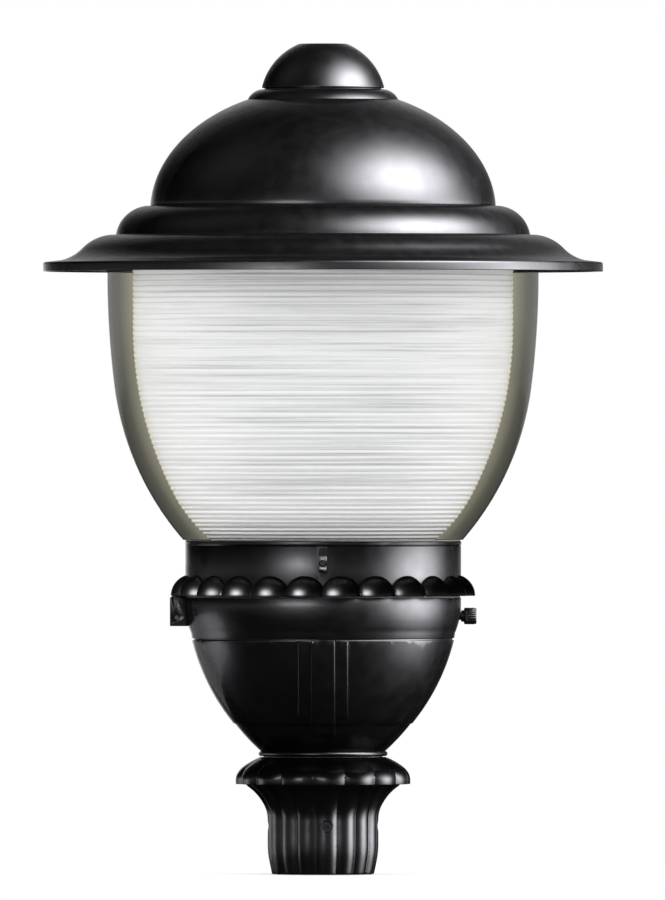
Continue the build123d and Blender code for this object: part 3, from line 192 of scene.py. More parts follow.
# %% Floor paint
floor_glow = 0.36
fade_start, fade_end = 0.35, 0.98  # shares of the floor's radius
card_share = 0.96  # how much of the floor dark card hides from gloss

floor_paint = bpy.data.materials.new("pale_floor")
floor_paint.use_nodes = True
tree = floor_paint.node_tree
tree.nodes.clear()
path = node(tree, "ShaderNodeLightPath")
side = node(tree, "ShaderNodeNewGeometry")
matt = node(tree, "ShaderNodeBsdfDiffuse", Color=(0.80, 0.80, 0.80, 1))
glow = node(tree, "ShaderNodeEmission", Color=(1, 1, 1, 1))
mirrored = maths(tree, "MAXIMUM", path.outputs["Is Glossy Ray"], path.outputs["Is Transmission Ray"])
looked_at = maths(tree, "MAXIMUM", path.outputs["Is Camera Ray"], mirrored)
tree.links.new(maths(tree, "MULTIPLY", looked_at, floor_glow), glow.inputs["Strength"])
both = node(tree, "ShaderNodeAddShader")
tree.links.new(matt.outputs[0], both.inputs[0])
tree.links.new(glow.outputs[0], both.inputs[1])

spot = node(tree, "ShaderNodeTexCoord")
length = tree.nodes.new("ShaderNodeVectorMath")
length.operation = "LENGTH"
tree.links.new(spot.outputs["Object"], length.inputs[0])
fade_ends = (floor_radius * fade_start, floor_radius * fade_end)
fade = remapped(tree, length.outputs["Value"], fade_ends, smooth=True)
card = maths(tree, "MULTIPLY", path.outputs["Is Glossy Ray"], card_share)
hidden = maths(tree, "MAXIMUM", side.outputs["Backfacing"], fade)
clear = node(tree, "ShaderNodeBsdfTransparent")
out = node(tree, "ShaderNodeOutputMaterial")
tree.links.new(shader_mix(tree, maths(tree, "MAXIMUM", hidden, card), both, clear), out.inputs["Surface"])
floor.data.materials.append(floor_paint)
print("floor paint made")

# %% [markdown]
# ## Lamps
# The highlights in the photograph say where the lamps were. A big soft one stands on the right and above,
# which lights the dome, the bead and the ball from that side. Level strips at the right and at the left
# front draw the upright lights down the collar and the band of the gear housing. A low strip behind on the
# left gives the soft light at the bowl's upper left, and a small panel puts a glint on each scallop. Weaker
# lamps at the back keep the lantern readable from behind.
#
# A softbox is bright in its middle and fades to its edges, and so does what a gloss mirrors of it. Each
# highlight lamp gets such a fade from its own emission nodes. It shines on gloss alone, and through light
# linking only on the pieces that show it. Three plain lamps give the matt surfaces their soft fill.

# %% A lamp that fades like a softbox
def faded(data, peak, reach):
    """Makes a lamp fade from its brightest spot, given as shares of its width and height."""
    data.use_nodes = True
    tree = data.node_tree
    tree.nodes.clear()
    place = node(tree, "ShaderNodeNewGeometry")
    split = node(tree, "ShaderNodeSeparateXYZ")
    tree.links.new(place.outputs["Parametric"], split.inputs[0])
    squares = []
    for axis, middle, width, size in zip("XY", peak, reach, (data.size, data.size_y)):
        away = maths(tree, "MULTIPLY", maths(tree, "SUBTRACT", split.outputs[axis], middle), size / width)
        squares.append(maths(tree, "MULTIPLY", away, away))
    total = maths(tree, "ADD", squares[0], squares[1])
    bell = maths(tree, "EXPONENT", maths(tree, "MULTIPLY", total, -0.5))
    glow = node(tree, "ShaderNodeEmission", Color=(1, 1, 1, 1))
    tree.links.new(bell, glow.inputs["Strength"])
    out = tree.nodes.new("ShaderNodeOutputLight")
    tree.links.new(glow.outputs[0], out.inputs["Surface"])


print("softbox fade ready")

# %% A tool for lamps
def lamp(name, turn, rise, distance, size, brightness, aim, reach=None, on=None, peak=(0.5, 0.5)):
    """A rectangular lamp, placed by its turn from the front to the right and its rise, in degrees.

    It looks at the lantern's axis at the height aim. With a reach it is a highlight lamp, which fades from
    its peak and shines on the pieces in one collection.
    """
    data = bpy.data.lights.new(name, "AREA")
    data.shape = "RECTANGLE"
    data.size, data.size_y = size
    data.energy = brightness * math.pi * size[0] * size[1]
    a, e = math.radians(turn), math.radians(rise)
    out_way = Vector((math.sin(a) * math.cos(e), -math.cos(a) * math.cos(e), math.sin(e)))
    made = bpy.data.objects.new(name, data)
    made.location = Vector((0, 0, aim)) + out_way * distance
    made.rotation_mode = "QUATERNION"
    made.rotation_quaternion = out_way.to_track_quat("Z", "Y")
    made.visible_camera = False
    made.visible_diffuse = made.visible_transmission = reach is None
    made.visible_glossy = reach is not None
    if reach is not None:
        faded(data, peak, reach)
        made.light_linking.receiver_collection = on
    bpy.context.scene.collection.objects.link(made)


print("tool for lamps ready")

# %% Lamps
lit_by_key = bpy.data.collections.new("lit_by_key")
lit_by_strips = bpy.data.collections.new("lit_by_strips")
lit_as_lobes = bpy.data.collections.new("lit_as_lobes")

lamps = [
    # name, turn, rise, distance, size, brightness, aim, reach of its fade, pieces that it lights, peak
    ("key_softbox", 62, 38, 2.2, (4.4, 3.4), 42, 0.45, (0.84, 0.60), lit_by_key),
    ("right_strip", 86, 0, 2.2, (2.8, 2.6), 23, 0.30, (0.66, 0.55), lit_by_strips),
    ("right_front_strip", 62, 0, 2.4, (1.6, 1.2), 3, 0.30, (0.50, 0.30), lit_by_strips),
    ("left_front_strip", -26, 5, 2.4, (1.6, 1.0), 24, 0.31, (0.42, 0.12), lit_by_strips, (0.70, 0.5)),
    ("rear_softbox", 180, 36, 2.2, (3.2, 2.4), 4, 0.45, (0.70, 0.50), lit_by_key),
    ("rear_strip", 192, 0, 2.4, (1.8, 1.4), 4, 0.30, (0.40, 0.34), lit_by_strips),
    ("left_low_strip", -122, -15, 0.9, (0.9, 0.3), 6, 0.235, (0.60, 0.30), lit_by_strips),
    ("left_lobe_panel", -37, 11, 1.2, (1.6, 0.9), 36, 0.29, (0.34, 0.22), lit_as_lobes),
    ("left_softbox", -84, 46, 2.2, (2.4, 2.4), 0.3, 0.45, (0.60, 0.60), lit_by_key),
    ("left_fill", -66, 6, 3.0, (1.6, 1.6), 6.2, 0.45),
    ("right_fill", 68, 8, 3.0, (1.6, 1.6), 5.8, 0.45),
    ("front_fill", 10, 25, 3.0, (1.6, 1.6), 2.6, 0.45),
]
for row in lamps:
    lamp(*row)
print(len(lamps), "lamps")

# %% [markdown]
# ## Finishes
# A finish is more than a colour. Powder coat has a faint orange peel that breaks up its highlights, a
# gloss that changes a little from place to place, and some dust on what faces up. Each finish below is
# built from a few noise textures on Object coordinates, which are the lantern's own metres, so the grain
# is the same size on every piece.

# %% An empty material and its grain
def blank(name):
    """An empty node material, with its output and a node for the lantern's own coordinates."""
    made = bpy.data.materials.new(name)
    made.use_nodes = True
    tree = made.node_tree
    tree.nodes.clear()
    out = node(tree, "ShaderNodeOutputMaterial")
    place = node(tree, "ShaderNodeTexCoord")
    return made, tree, out, place.outputs["Object"]


def stretched(tree, place, scale):
    """Object coordinates scaled differently along each axis."""
    made = node(tree, "ShaderNodeMapping")
    made.inputs["Scale"].default_value = scale
    tree.links.new(place, made.inputs["Vector"])
    return made.outputs[0]


def noise(tree, place, scale, detail=2.0, roughness=0.5):
    """A noise texture at a scale for each metre."""
    made = node(tree, "ShaderNodeTexNoise", Scale=scale, Detail=detail, Roughness=roughness)
    tree.links.new(place, made.inputs["Vector"])
    return made.outputs["Fac"]


print("tools for grain ready")

# %% Colours and values from a grain
def ramp(tree, value, *stops):
    """A Color Ramp from (position, colour) stops. A grey may be given as one number."""
    made = tree.nodes.new("ShaderNodeValToRGB")
    tree.links.new(value, made.inputs[0])
    steps = made.color_ramp.elements
    while len(steps) < len(stops):
        steps.new(1.0)
    for step, (position, colour) in zip(steps, stops):
        step.position = position
        grey = isinstance(colour, (int, float))
        step.color = (colour, colour, colour, 1) if grey else (*colour, 1)
    return made.outputs[0]


def between(tree, value, low, high):
    """Maps 0.3 to 0.7, where most of a noise lies, to low to high."""
    return remapped(tree, value, (0.3, 0.7), (low, high))


def blended(tree, factor, first, second):
    """Mixes two colours by a factor socket. Each colour is a socket or three numbers."""
    made = tree.nodes.new("ShaderNodeMix")
    made.data_type = "RGBA"
    tree.links.new(factor, made.inputs["Factor"])
    for side, colour in (("A", first), ("B", second)):
        if isinstance(colour, tuple):
            made.inputs[side].default_value = (*colour, 1)
        else:
            tree.links.new(colour, made.inputs[side])
    return made.outputs["Result"]


print("tools for colours ready")

# %% Bumps and the painted surface
def bumped(tree, height, distance, strength, normal=None):
    """Tips the normal by a height socket, over a normal that is bumped already or over the plain one."""
    made = node(tree, "ShaderNodeBump", Distance=distance, Strength=strength)
    tree.links.new(height, made.inputs["Height"])
    if normal is not None:
        tree.links.new(normal, made.inputs["Normal"])
    return made.outputs[0]


def surface(tree, out, colour, roughness, normal, **constants):
    """A Principled shader with linked colour, roughness and normal, and constants on its own sockets."""
    made = node(tree, "ShaderNodeBsdfPrincipled", **constants)
    for name, source in (("Base Color", colour), ("Roughness", roughness), ("Normal", normal)):
        tree.links.new(source, made.inputs[name])
    tree.links.new(made.outputs[0], out.inputs["Surface"])
    return made


print("tools for surfaces ready")

# %% [markdown]
# The black coat is the finish that shows most. It is gloss powder coat, very dark and neutral, with an
# orange peel about a millimetre across. A plain coat's mirror grows strong at a slant and would wash the
# hood out in views from above. So the shader is a very dark metal: its base colour sets how much it mirrors
# head on, and its edge tint holds the mirror down at a slant. A faint coat over it keeps a crisp glint.

# %% Black powder coat
upward_start = 0.55  # the upward part of the normal at which dust starts to lie
dust_tone, dust_share = (0.11, 0.105, 0.095), 0.12
coat_dark, coat_light = (0.031, 0.031, 0.033), (0.038, 0.038, 0.040)
edge_tint = (0.30, 0.30, 0.30, 1)


def dusted(tree, colour, place):
    """Lays a thin uneven dust on what faces up."""
    facing = node(tree, "ShaderNodeNewGeometry")
    split = node(tree, "ShaderNodeSeparateXYZ")
    tree.links.new(facing.outputs["Normal"], split.inputs[0])
    upward = remapped(tree, split.outputs["Z"], (upward_start, 1.0), (0.0, dust_share))
    patch = ramp(tree, noise(tree, place, 60.0, 6.0, 0.7), (0.35, 0.0), (0.75, 1.0))
    return blended(tree, maths(tree, "MULTIPLY", upward, patch), colour, dust_tone)


def black_coat(name, gloss_low, gloss_high, peel):
    """Black gloss powder coat, with its roughness between two values and an orange peel of a strength."""
    made, tree, out, place = blank(name)
    colour = ramp(tree, noise(tree, place, 22.0, 4.0), (0.3, coat_dark), (0.7, coat_light))
    colour = dusted(tree, colour, place)
    gloss = between(tree, noise(tree, place, 70.0, 3.0), gloss_low, gloss_high)
    skin = bumped(tree, noise(tree, place, 700.0, 1.0), 0.00012, peel)
    wave = bumped(tree, noise(tree, place, 55.0, 1.0), 0.0006, peel * 0.35, skin)
    glint = {"Coat_Weight": 0.05, "Coat_Roughness": 0.12}
    surface(tree, out, colour, gloss, wave, Metallic=1.0, Specular_Tint=edge_tint, **glint)
    return made


spun_coat = black_coat("black_coat_spun", 0.30, 0.36, 0.18)
cast_coat = black_coat("black_coat_cast", 0.28, 0.35, 0.30)
print("black coats:", spun_coat.name, cast_coat.name)

# %% [markdown]
# The other finishes are for what shows through the globe or when the head is open: zinc-plated sheet,
# stainless screws, aluminium can, varnished copper winding, core plates, brass, porcelain, white enamel
# inside the hood, moulded plastics and rubber.

# %% Metals
fleck_depth = 0.000048


def metal(name, colour, shade, rough, streak):
    """Bare metal: shade varies its colour, streak stretches its grain along one axis."""
    made, tree, out, place = blank(name)
    grain = noise(tree, stretched(tree, place, streak), 60.0, 6.0, 0.65)
    cloud = noise(tree, place, 35.0, 3.0)
    low = tuple(c * (1 - shade) for c in colour)
    tone = ramp(tree, cloud, (0.3, low), (0.7, colour))
    gloss = between(tree, grain, *rough)
    surface(tree, out, tone, gloss, bumped(tree, grain, fleck_depth, 0.5), Metallic=1.0)
    return made


stainless = metal("stainless_turned", (0.62, 0.61, 0.59), 0.12, (0.18, 0.36), (1, 1, 12))
zinc_sheet = metal("zinc_plated_sheet", (0.60, 0.61, 0.63), 0.22, (0.28, 0.48), (1, 9, 1))
can_metal = metal("drawn_aluminium", (0.80, 0.80, 0.81), 0.08, (0.22, 0.38), (1, 1, 8))
brass = metal("bright_brass", (0.78, 0.58, 0.25), 0.15, (0.20, 0.36), (1, 1, 8))
print("metals made")

# %% Core plates and winding
def plated_core():
    """Thin varnished plates on edge, which show as fine upright lines."""
    made, tree, out, place = blank("core_plates")
    wave = node(tree, "ShaderNodeTexWave", Scale=320.0, Distortion=0.3, Detail=1.0)
    wave.bands_direction = "Y"
    tree.links.new(place, wave.inputs["Vector"])
    tone = ramp(tree, wave.outputs["Fac"], (0.1, (0.03, 0.028, 0.026)), (0.6, (0.13, 0.125, 0.12)))
    gloss = between(tree, noise(tree, place, 80.0), 0.32, 0.5)
    surface(tree, out, tone, gloss, bumped(tree, wave.outputs["Fac"], 0.0003, 0.8), Metallic=0.7)
    return made


def copper_winding():
    """Varnished copper wire, laid in level turns."""
    made, tree, out, place = blank("copper_winding")
    wave = node(tree, "ShaderNodeTexWave", Scale=250.0, Distortion=0.6, Detail=1.0)
    wave.bands_direction = "Z"
    tree.links.new(place, wave.inputs["Vector"])
    tone = ramp(tree, wave.outputs["Fac"], (0.05, (0.10, 0.03, 0.012)), (0.7, (0.52, 0.20, 0.08)))
    gloss = between(tree, noise(tree, place, 90.0), 0.22, 0.38)
    skin = bumped(tree, wave.outputs["Fac"], 0.0006, 0.9)
    surface(tree, out, tone, gloss, skin, Metallic=0.8, Coat_Weight=0.6, Coat_Roughness=0.15)
    return made


core_plates = plated_core()
winding = copper_winding()
print("core plates and winding made")

# %% Plastics, porcelain, enamel and rubber
def moulded(name, colour, shade, rough, grain, depth, **constants):
    """A moulded or glazed skin: a slow cloud of colour, uneven gloss and a fine grain."""
    made, tree, out, place = blank(name)
    cloud = noise(tree, place, 28.0, 4.0)
    low = tuple(c * (1 - shade) for c in colour)
    tone = ramp(tree, cloud, (0.3, low), (0.7, colour))
    gloss = between(tree, noise(tree, place, 75.0, 3.0), *rough)
    skin = bumped(tree, noise(tree, place, grain, 2.0), depth, 0.6)
    surface(tree, out, tone, gloss, skin, **constants)
    return made


potted = moulded("moulded_cream_plastic", (0.70, 0.68, 0.60), 0.08, (0.35, 0.5), 900.0, 0.0001)
terminal = moulded("moulded_white_plastic", (0.66, 0.66, 0.62), 0.06, (0.4, 0.55), 900.0, 0.0001)
rubber = moulded("moulded_rubber", (0.028, 0.028, 0.028), 0.3, (0.6, 0.8), 1100.0, 0.00015)
glaze = {"Coat_Weight": 0.5, "Coat_Roughness": 0.05}
porcelain = moulded("glazed_porcelain", (0.82, 0.80, 0.75), 0.05, (0.12, 0.2), 120.0, 0.0002, **glaze)
white_coat = moulded("white_enamel", (0.80, 0.80, 0.77), 0.04, (0.25, 0.36), 650.0, 0.0001)
print("moulded finishes made")

# %% [markdown]
# Clear parts come next. In the photograph the globe is clear where it stands in front of the refractor, and
# grey only in the band beside it, where the far wall is seen through the near one. That band is painted
# shade: the wall's outer skin is tinted only where it is seen from inside, by how far it turns away from the
# eye, olive grey at a slant and nearly black at the very edge. A gloss lies over it in the measure that
# Fresnel gives, and only on faces that look towards the eye. The tint is a Transparent shader, and lamp light
# is let through it untinted, so that the refractor stays white.

# %% Clear wall
acrylic_ior = 1.49
near_clear = (0.985, 0.985, 0.985)


def glazing(name, tints, gloss_roughness, gloss_share, far_only=False):
    """A thin clear wall with painted shade by how far it turns away, and a Fresnel gloss on its near faces.
    """
    made, tree, out, place = blank(name)
    turn = node(tree, "ShaderNodeLayerWeight", Blend=0.5)
    tint = ramp(tree, turn.outputs["Facing"], *tints)
    path = node(tree, "ShaderNodeLightPath")
    backfacing = node(tree, "ShaderNodeNewGeometry").outputs["Backfacing"]
    soft = maths(tree, "MAXIMUM", path.outputs["Is Shadow Ray"], path.outputs["Is Diffuse Ray"])
    seen = maths(tree, "SUBTRACT", 1.0, soft)
    share = maths(tree, "MULTIPLY", seen, backfacing) if far_only else seen
    through = node(tree, "ShaderNodeBsdfTransparent")
    tree.links.new(blended(tree, share, near_clear, tint), through.inputs["Color"])
    wave = bumped(tree, noise(tree, place, 18.0, 1.0), 0.0004, 0.25)
    gloss = node(tree, "ShaderNodeBsdfGlossy", Roughness=gloss_roughness)
    tree.links.new(wave, gloss.inputs["Normal"])
    fresnel = node(tree, "ShaderNodeFresnel", IOR=acrylic_ior)
    near_face = maths(tree, "SUBTRACT", seen, backfacing)
    lit = maths(tree, "MAXIMUM", maths(tree, "MULTIPLY", fresnel.outputs[0], near_face), 0.0)
    mixed = shader_mix(tree, maths(tree, "MULTIPLY", lit, gloss_share), through, gloss)
    tree.links.new(mixed, out.inputs["Surface"])
    return made


print("clear wall ready")

# %% Globe and lamp glass
# Painted shade: each list darkens to its edge, the outer skin's to near black and the lamp glass's to half.
slant_shade = [
    (0.0, (0.62, 0.61, 0.55)),
    (0.48, (0.40, 0.395, 0.32)),
    (0.56, (0.255, 0.247, 0.190)),
    (0.68, (0.120, 0.116, 0.092)),
    (0.85, (0.070, 0.071, 0.062)),
    (0.94, (0.020, 0.021, 0.019)),
    (1.0, (0.008, 0.008, 0.008)),
]
hardly_tinted = [(0.0, (0.99, 0.99, 0.99)), (1.0, (0.96, 0.96, 0.96))]
lamp_glass = [(0.0, (0.98, 0.98, 0.98)), (0.6, (0.93, 0.93, 0.93)), (1.0, (0.5, 0.5, 0.5))]
shaded_clear_globe = glazing("clear_globe_outer", slant_shade, 0.05, 0.35, far_only=True)
plain_clear = glazing("clear_globe_inner", hardly_tinted, 0.05, 0.15)
lamp_clear = glazing("clear_lamp", lamp_glass, 0.03, 1.0)
print("clear finishes made")

# %% [markdown]
# The refractor is covered with level prisms. They scatter light so well that it reads as a white bell
# with fine grey lines. A diffuse shader lets lamp light spread through it, and the lines come partly from
# the modelled ribs and partly from grey and pale streaks of noise painted into its colour, long across the
# bell and short up it: painted shade and painted highlight of the prisms. Towards the bell's sides its glass
# is seen edge on, through more of it, and turns cream, and there its colour is also painted whiter, a
# painted glow of the light coming through. The neck stands in the black collar, and its colour is painted
# dark there as painted shade.

# %% Ribbed refractor
# Below these heights the neck's colour is painted dark: painted shade inside the collar.
neck_dark, neck_clear = 0.326, 0.331  # heights between which the neck turns from dark to clear
neck_painted_shade = (0.03, 0.03, 0.03)
light_through = 0.25


def prismatic():
    """White ribbed glass lit on and through: painted shade in its lines and neck, a painted glow at its
    sides.
    """
    made, tree, out, place = blank("prismatic_refractor")
    streaks = noise(tree, stretched(tree, place, (0.25, 0.25, 60.0)), 4.0, 6.0, 0.7)
    fine = noise(tree, stretched(tree, place, (0.6, 0.6, 60.0)), 9.0, 5.0, 0.6)
    both = maths(tree, "ADD", maths(tree, "MULTIPLY", streaks, 0.6), maths(tree, "MULTIPLY", fine, 0.4))
    line, ground, crest = (0.54, 0.545, 0.55), (0.84, 0.845, 0.85), (0.95, 0.955, 0.96)
    # Grey and pale streaks painted into the colour: painted shade and painted highlight of the prisms.
    lines = ramp(tree, both, (0.40, line), (0.48, ground), (0.57, crest))
    facing = node(tree, "ShaderNodeLayerWeight", Blend=0.5).outputs["Facing"]
    # Painted glow: the colour is painted whiter towards the sides, and cream, the tint of more glass.
    painted_limb_glow = ramp(tree, facing, (0.20, 0.0), (0.75, 0.85))
    edge = ramp(tree, facing, (0.78, (0.97, 0.965, 0.95)), (0.93, (0.95, 0.91, 0.74)))
    bell_tone = blended(tree, painted_limb_glow, lines, edge)
    split = node(tree, "ShaderNodeSeparateXYZ")
    tree.links.new(place, split.inputs[0])
    # Painted shade: the neck is painted dark where it stands in the collar.
    above_neck = remapped(tree, split.outputs["Z"], (neck_dark, neck_clear))
    tone = blended(tree, above_neck, neck_painted_shade, bell_tone)
    gloss = between(tree, fine, 0.3, 0.5)
    skin = bumped(tree, both, 0.0003, 0.4)
    matt = surface(tree, out, tone, gloss, skin, Specular_IOR_Level=0.2)
    glow = node(tree, "ShaderNodeBsdfTranslucent")
    tree.links.new(tone, glow.inputs["Color"])
    tree.links.new(shader_mix(tree, light_through, matt, glow), out.inputs["Surface"])
    return made


prisms = prismatic()
print("refractor finish made")

# %% [markdown]
# ## Round pieces
# The hood, dome, ball and globe are spun or blown on a round form, so each is one outline turned about the
# lantern's axis. By hand that is a plane merged to one vertex, extruded from point to point along the
# outline and spun. The sheet's thickness comes after, from a Solidify modifier, so that both faces point
# the right way.

# %% Arcs for an outline
def swept(start, end, middle, steps):
    """Points along the arc from start to end about a middle, without the start, and its sweep."""
    spoke, last = Vector(start) - middle, Vector(end) - middle
    sweep = math.atan2(spoke.x * last.y - spoke.y * last.x, spoke.dot(last))
    points = []
    for i in range(1, steps + 1):
        c, s = math.cos(sweep * i / steps), math.sin(sweep * i / steps)
        points.append((middle.x + spoke.x * c - spoke.y * s, middle.y + spoke.x * s + spoke.y * c))
    return points, sweep


def arc(start, end, bulge, steps):
    """Points along an arc from start to end, without the start. It stands off its chord by a bulge."""
    (x0, z0), (x1, z1) = start, end
    chord = math.hypot(x1 - x0, z1 - z0)
    radius = (chord**2 / 4 + bulge**2) / (2 * bulge)
    right = Vector((z1 - z0, x0 - x1)) / chord
    middle = Vector(((x0 + x1) / 2, (z0 + z1) / 2)) - right * (radius - bulge)
    return swept(start, end, middle, steps)[0]


print("arcs ready")

# %% A tool for turned pieces
MM = 0.001
weld = 1e-6


def turned(name, points, turns, wall=0.0, smooth=35, inner_slot=0):
    """Turns an outline of (radius, height) points in millimetres about the lantern's axis."""
    deselect()
    bpy.ops.mesh.primitive_plane_add(size=2 * MM)
    piece = bpy.context.object
    piece.name = piece.data.name = name
    bpy.ops.object.mode_set(mode="EDIT")
    bpy.context.tool_settings.mesh_select_mode = (True, False, False)
    bpy.ops.mesh.select_all(action="SELECT")
    bpy.ops.mesh.merge(type="CENTER")
    bpy.ops.transform.translate(value=(points[0][0] * MM, 0, points[0][1] * MM))
    for a, b in zip(points, points[1:]):
        step = ((b[0] - a[0]) * MM, 0, (b[1] - a[1]) * MM)
        bpy.ops.mesh.extrude_region_move(TRANSFORM_OT_translate={"value": step})
    bpy.ops.mesh.select_all(action="SELECT")
    bpy.ops.mesh.spin(steps=turns, angle=2 * math.pi, center=(0, 0, 0), axis=(0, 0, 1))
    bpy.ops.mesh.select_all(action="SELECT")
    bpy.ops.mesh.remove_doubles(threshold=weld)
    bpy.ops.mesh.normals_make_consistent(inside=False)
    bpy.ops.object.mode_set(mode="OBJECT")
    if inner_slot:
        for i in range(inner_slot + 1):
            piece.data.materials.append(None)
    if wall:
        thicken = piece.modifiers.new("wall", "SOLIDIFY")
        thicken.thickness = wall * MM
        thicken.offset = -1.0
        thicken.use_even_offset = True
        thicken.material_offset = inner_slot
        bpy.ops.object.modifier_apply(modifier=thicken.name)
    bpy.ops.object.shade_smooth_by_angle(angle=math.radians(smooth))
    return piece


print("tool for turned pieces ready")

# %% A finish, a body and a node for each piece
def dressed(piece, finish, body, slot, *stands_for):
    """Gives a piece its finishes and its body, and hides the CAD nodes that it stands for. The slot is not
    used.
    """
    finishes = finish if isinstance(finish, list) else [finish]
    while len(piece.data.materials) < len(finishes):
        piece.data.materials.append(None)
    for i, each in enumerate(finishes):
        piece.data.materials[i] = each
    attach(piece, body)
    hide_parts(*stands_for)
    print(piece.name, len(piece.data.vertices), "vertices on", body)


print("tool for dressing a piece ready")

# %% [markdown]
# ### Hood
# The hood's skirt is spun aluminium: a down-turned rim, a nearly flat flange, a soft S up to the bead and
# a round bead under the dome. Its highlights follow these turns, so each arc gets enough points to stay
# smooth. A small bevel softens the cut edge of the sheet.

# %% A tool for softer edges
def edges_softened(piece, width, segments=3, angle=45, smooth=35):
    """Rounds the edges of a piece that are sharper than an angle, by a width in millimetres."""
    deselect()
    bpy.context.view_layer.objects.active = piece
    piece.select_set(True)
    soften = piece.modifiers.new("soften", "BEVEL")
    soften.width = width * MM
    soften.segments = segments
    soften.limit_method = "ANGLE"
    soften.angle_limit = math.radians(angle)
    soften.use_clamp_overlap = False
    soften.harden_normals = False
    bpy.ops.object.modifier_apply(modifier=soften.name)
    bpy.ops.object.shade_smooth_by_angle(angle=math.radians(smooth))


print("tool for softer edges ready")

# %% Skirt of the hood
globe_top = 622.0
hood_base = globe_top - 19.5
bead_base = hood_base + 36.5
dome_base = bead_base + 29.0
rim_top = hood_base + 9.5
rim_radius, rim_edge = 280.0, 2.4
dome_seat = 158.0

rim_corner = (rim_radius, rim_top - rim_edge)
flange_end = (262.0, rim_top + 1.8)
slope_middle = (242.0, hood_base + 22.0)
bead_foot, bead_head = (207.3, bead_base), (178.0, dome_base)

skirt_outline = [(rim_radius, hood_base), rim_corner]
skirt_outline += arc(rim_corner, (rim_radius - rim_edge, rim_top), 0.7, 6)
skirt_outline += [flange_end]
skirt_outline += arc(flange_end, slope_middle, -1.5, 12)
skirt_outline += arc(slope_middle, (215.0, bead_base), 2.7, 12)
skirt_outline += [bead_foot]
skirt_outline += arc(bead_foot, bead_head, 6.75, 20)
skirt_outline += [(dome_seat, dome_base)]
skirt = turned("hood_skirt_spun", skirt_outline, turns=192, wall=2.5)
edges_softened(skirt, 0.7)
dressed(skirt, spun_coat, "head", "black_coat", "hood_skirt")

# %% [markdown]
# The dome is a half oval with its edge turned in to sit on the skirt's flange.

# %% Dome
dome_radius, dome_half_height, dome_middle = 173.0, 124.5, dome_base - 5.6
edge_turn, crown_turn, dome_steps = 3.2, 89.0, 48
hem_inset = 0.4
dome_curve = []
for i in range(dome_steps + 1):
    a = math.radians(edge_turn + (crown_turn - edge_turn) * i / dome_steps)
    dome_curve.append((dome_radius * math.cos(a), dome_middle + dome_half_height * math.sin(a)))
dome_outline = [(dome_seat, dome_base), (dome_curve[0][0] - hem_inset, dome_base)] + dome_curve
dome_outline.append((0.0, dome_middle + dome_half_height))
dome = turned("hood_dome_spun", dome_outline, turns=192, wall=2.0)
dressed(dome, spun_coat, "head", "black_coat", "hood_dome")

# %% [markdown]
# A moulded ring covers the dome's crown, and the ball stands on it in a narrow groove. The ball is cut flat
# on top, with a soft edge.

# %% Ring under the ball
ring_inner, ring_outer, ring_top = 50.0, 76.0, 784.5
groove_radius, groove_depth = 58.4, 1.5
ball_base = ring_top + groove_depth
spigot_top = ball_base - 0.2

ring_outline = [(ring_inner, spigot_top), (ring_inner, 780.6), (ring_outer, 771.6), (ring_outer, 772.5)]
ring_outline += arc((ring_outer, 772.5), (62.5, ring_top), 2.5, 12)
ring_outline += [(groove_radius, ring_top), (groove_radius, spigot_top), (ring_inner, spigot_top)]
ring = turned("finial_ring_turned", ring_outline, turns=128)
edges_softened(ring, 0.4)
dressed(ring, spun_coat, "head", "black_coat", "finial_ring")

# %% Ball
ball_radius, flat_radius, ball_steps = 63.0, 23.5, 39
ball_middle = ball_base - math.sqrt(ball_radius**2 - 61.4**2)
low_turn = math.asin((ball_base - ball_middle) / ball_radius)
high_turn = math.acos(flat_radius / ball_radius)

ball_outline = [(0.0, ball_base), (61.0, ball_base)]
for i in range(ball_steps + 1):
    a = low_turn + (high_turn - low_turn) * i / ball_steps
    ball_outline.append((ball_radius * math.cos(a), ball_middle + ball_radius * math.sin(a)))
ball_outline.append((0.0, ball_middle + ball_radius * math.sin(high_turn)))
ball = turned("finial_ball", ball_outline, turns=128)
edges_softened(ball, 1.2, 4, 20)
dressed(ball, spun_coat, "head", "black_coat", "finial")

# %% [markdown]
# ### Globe and refractor
# Both are bells: a straight side that runs by two arcs into a narrow foot. Each arc starts in the
# direction in which the line before it ended, so the outline has no kink.

# %% Globe
def tangent_arc(points, way, end, steps):
    """Adds an arc that leaves the last point in direction way. Returns the direction at its end."""
    start = Vector(points[-1])
    way = Vector(way).normalized()
    chord = Vector(end) - start
    side = Vector((-way.y, way.x))
    radius = chord.length_squared / (2 * chord.dot(side))
    arc_points, sweep = swept(start, end, start + side * radius, steps)
    points += arc_points
    c, s = math.cos(sweep), math.sin(sweep)
    return (way.x * c - way.y * s, way.x * s + way.y * c)


downwards = (0, -1)
globe_radius, globe_neck_radius = 215.6, 130.0
globe_base, globe_foot = 334.2, 309.2
globe_points = [(globe_radius, globe_top), (globe_radius, 601.0)]
heading = tangent_arc(globe_points, downwards, (208.4, 487.0), 24)
tangent_arc(globe_points, heading, (139.9, globe_base), 32)
globe_points.reverse()
neck_points = [
    (globe_neck_radius, globe_foot),
    (globe_neck_radius, globe_base - 0.4),
    (globe_neck_radius + 0.4, globe_base),
]
globe = turned("globe_clear", neck_points + globe_points, turns=192, wall=4.0, inner_slot=1)
dressed(globe, [shaded_clear_globe, plain_clear], "head", "globe_acrylic", "globe")

# %% [markdown]
# The refractor's prisms are level rings, each with a short steep side and a long gentle one. They are set
# out along the bell's outline at equal distances, and each stands in from it by its depth.

# %% Refractor
refractor_radius, refractor_neck_radius = 190.5, 104.0
refractor_foot = 306.5
bell_points = [(refractor_radius, globe_top), (refractor_radius, 546.6)]
heading = tangent_arc(bell_points, downwards, (149.8, 380.0), 60)
tangent_arc(bell_points, heading, (refractor_neck_radius, 327.0), 40)
bell_points.reverse()

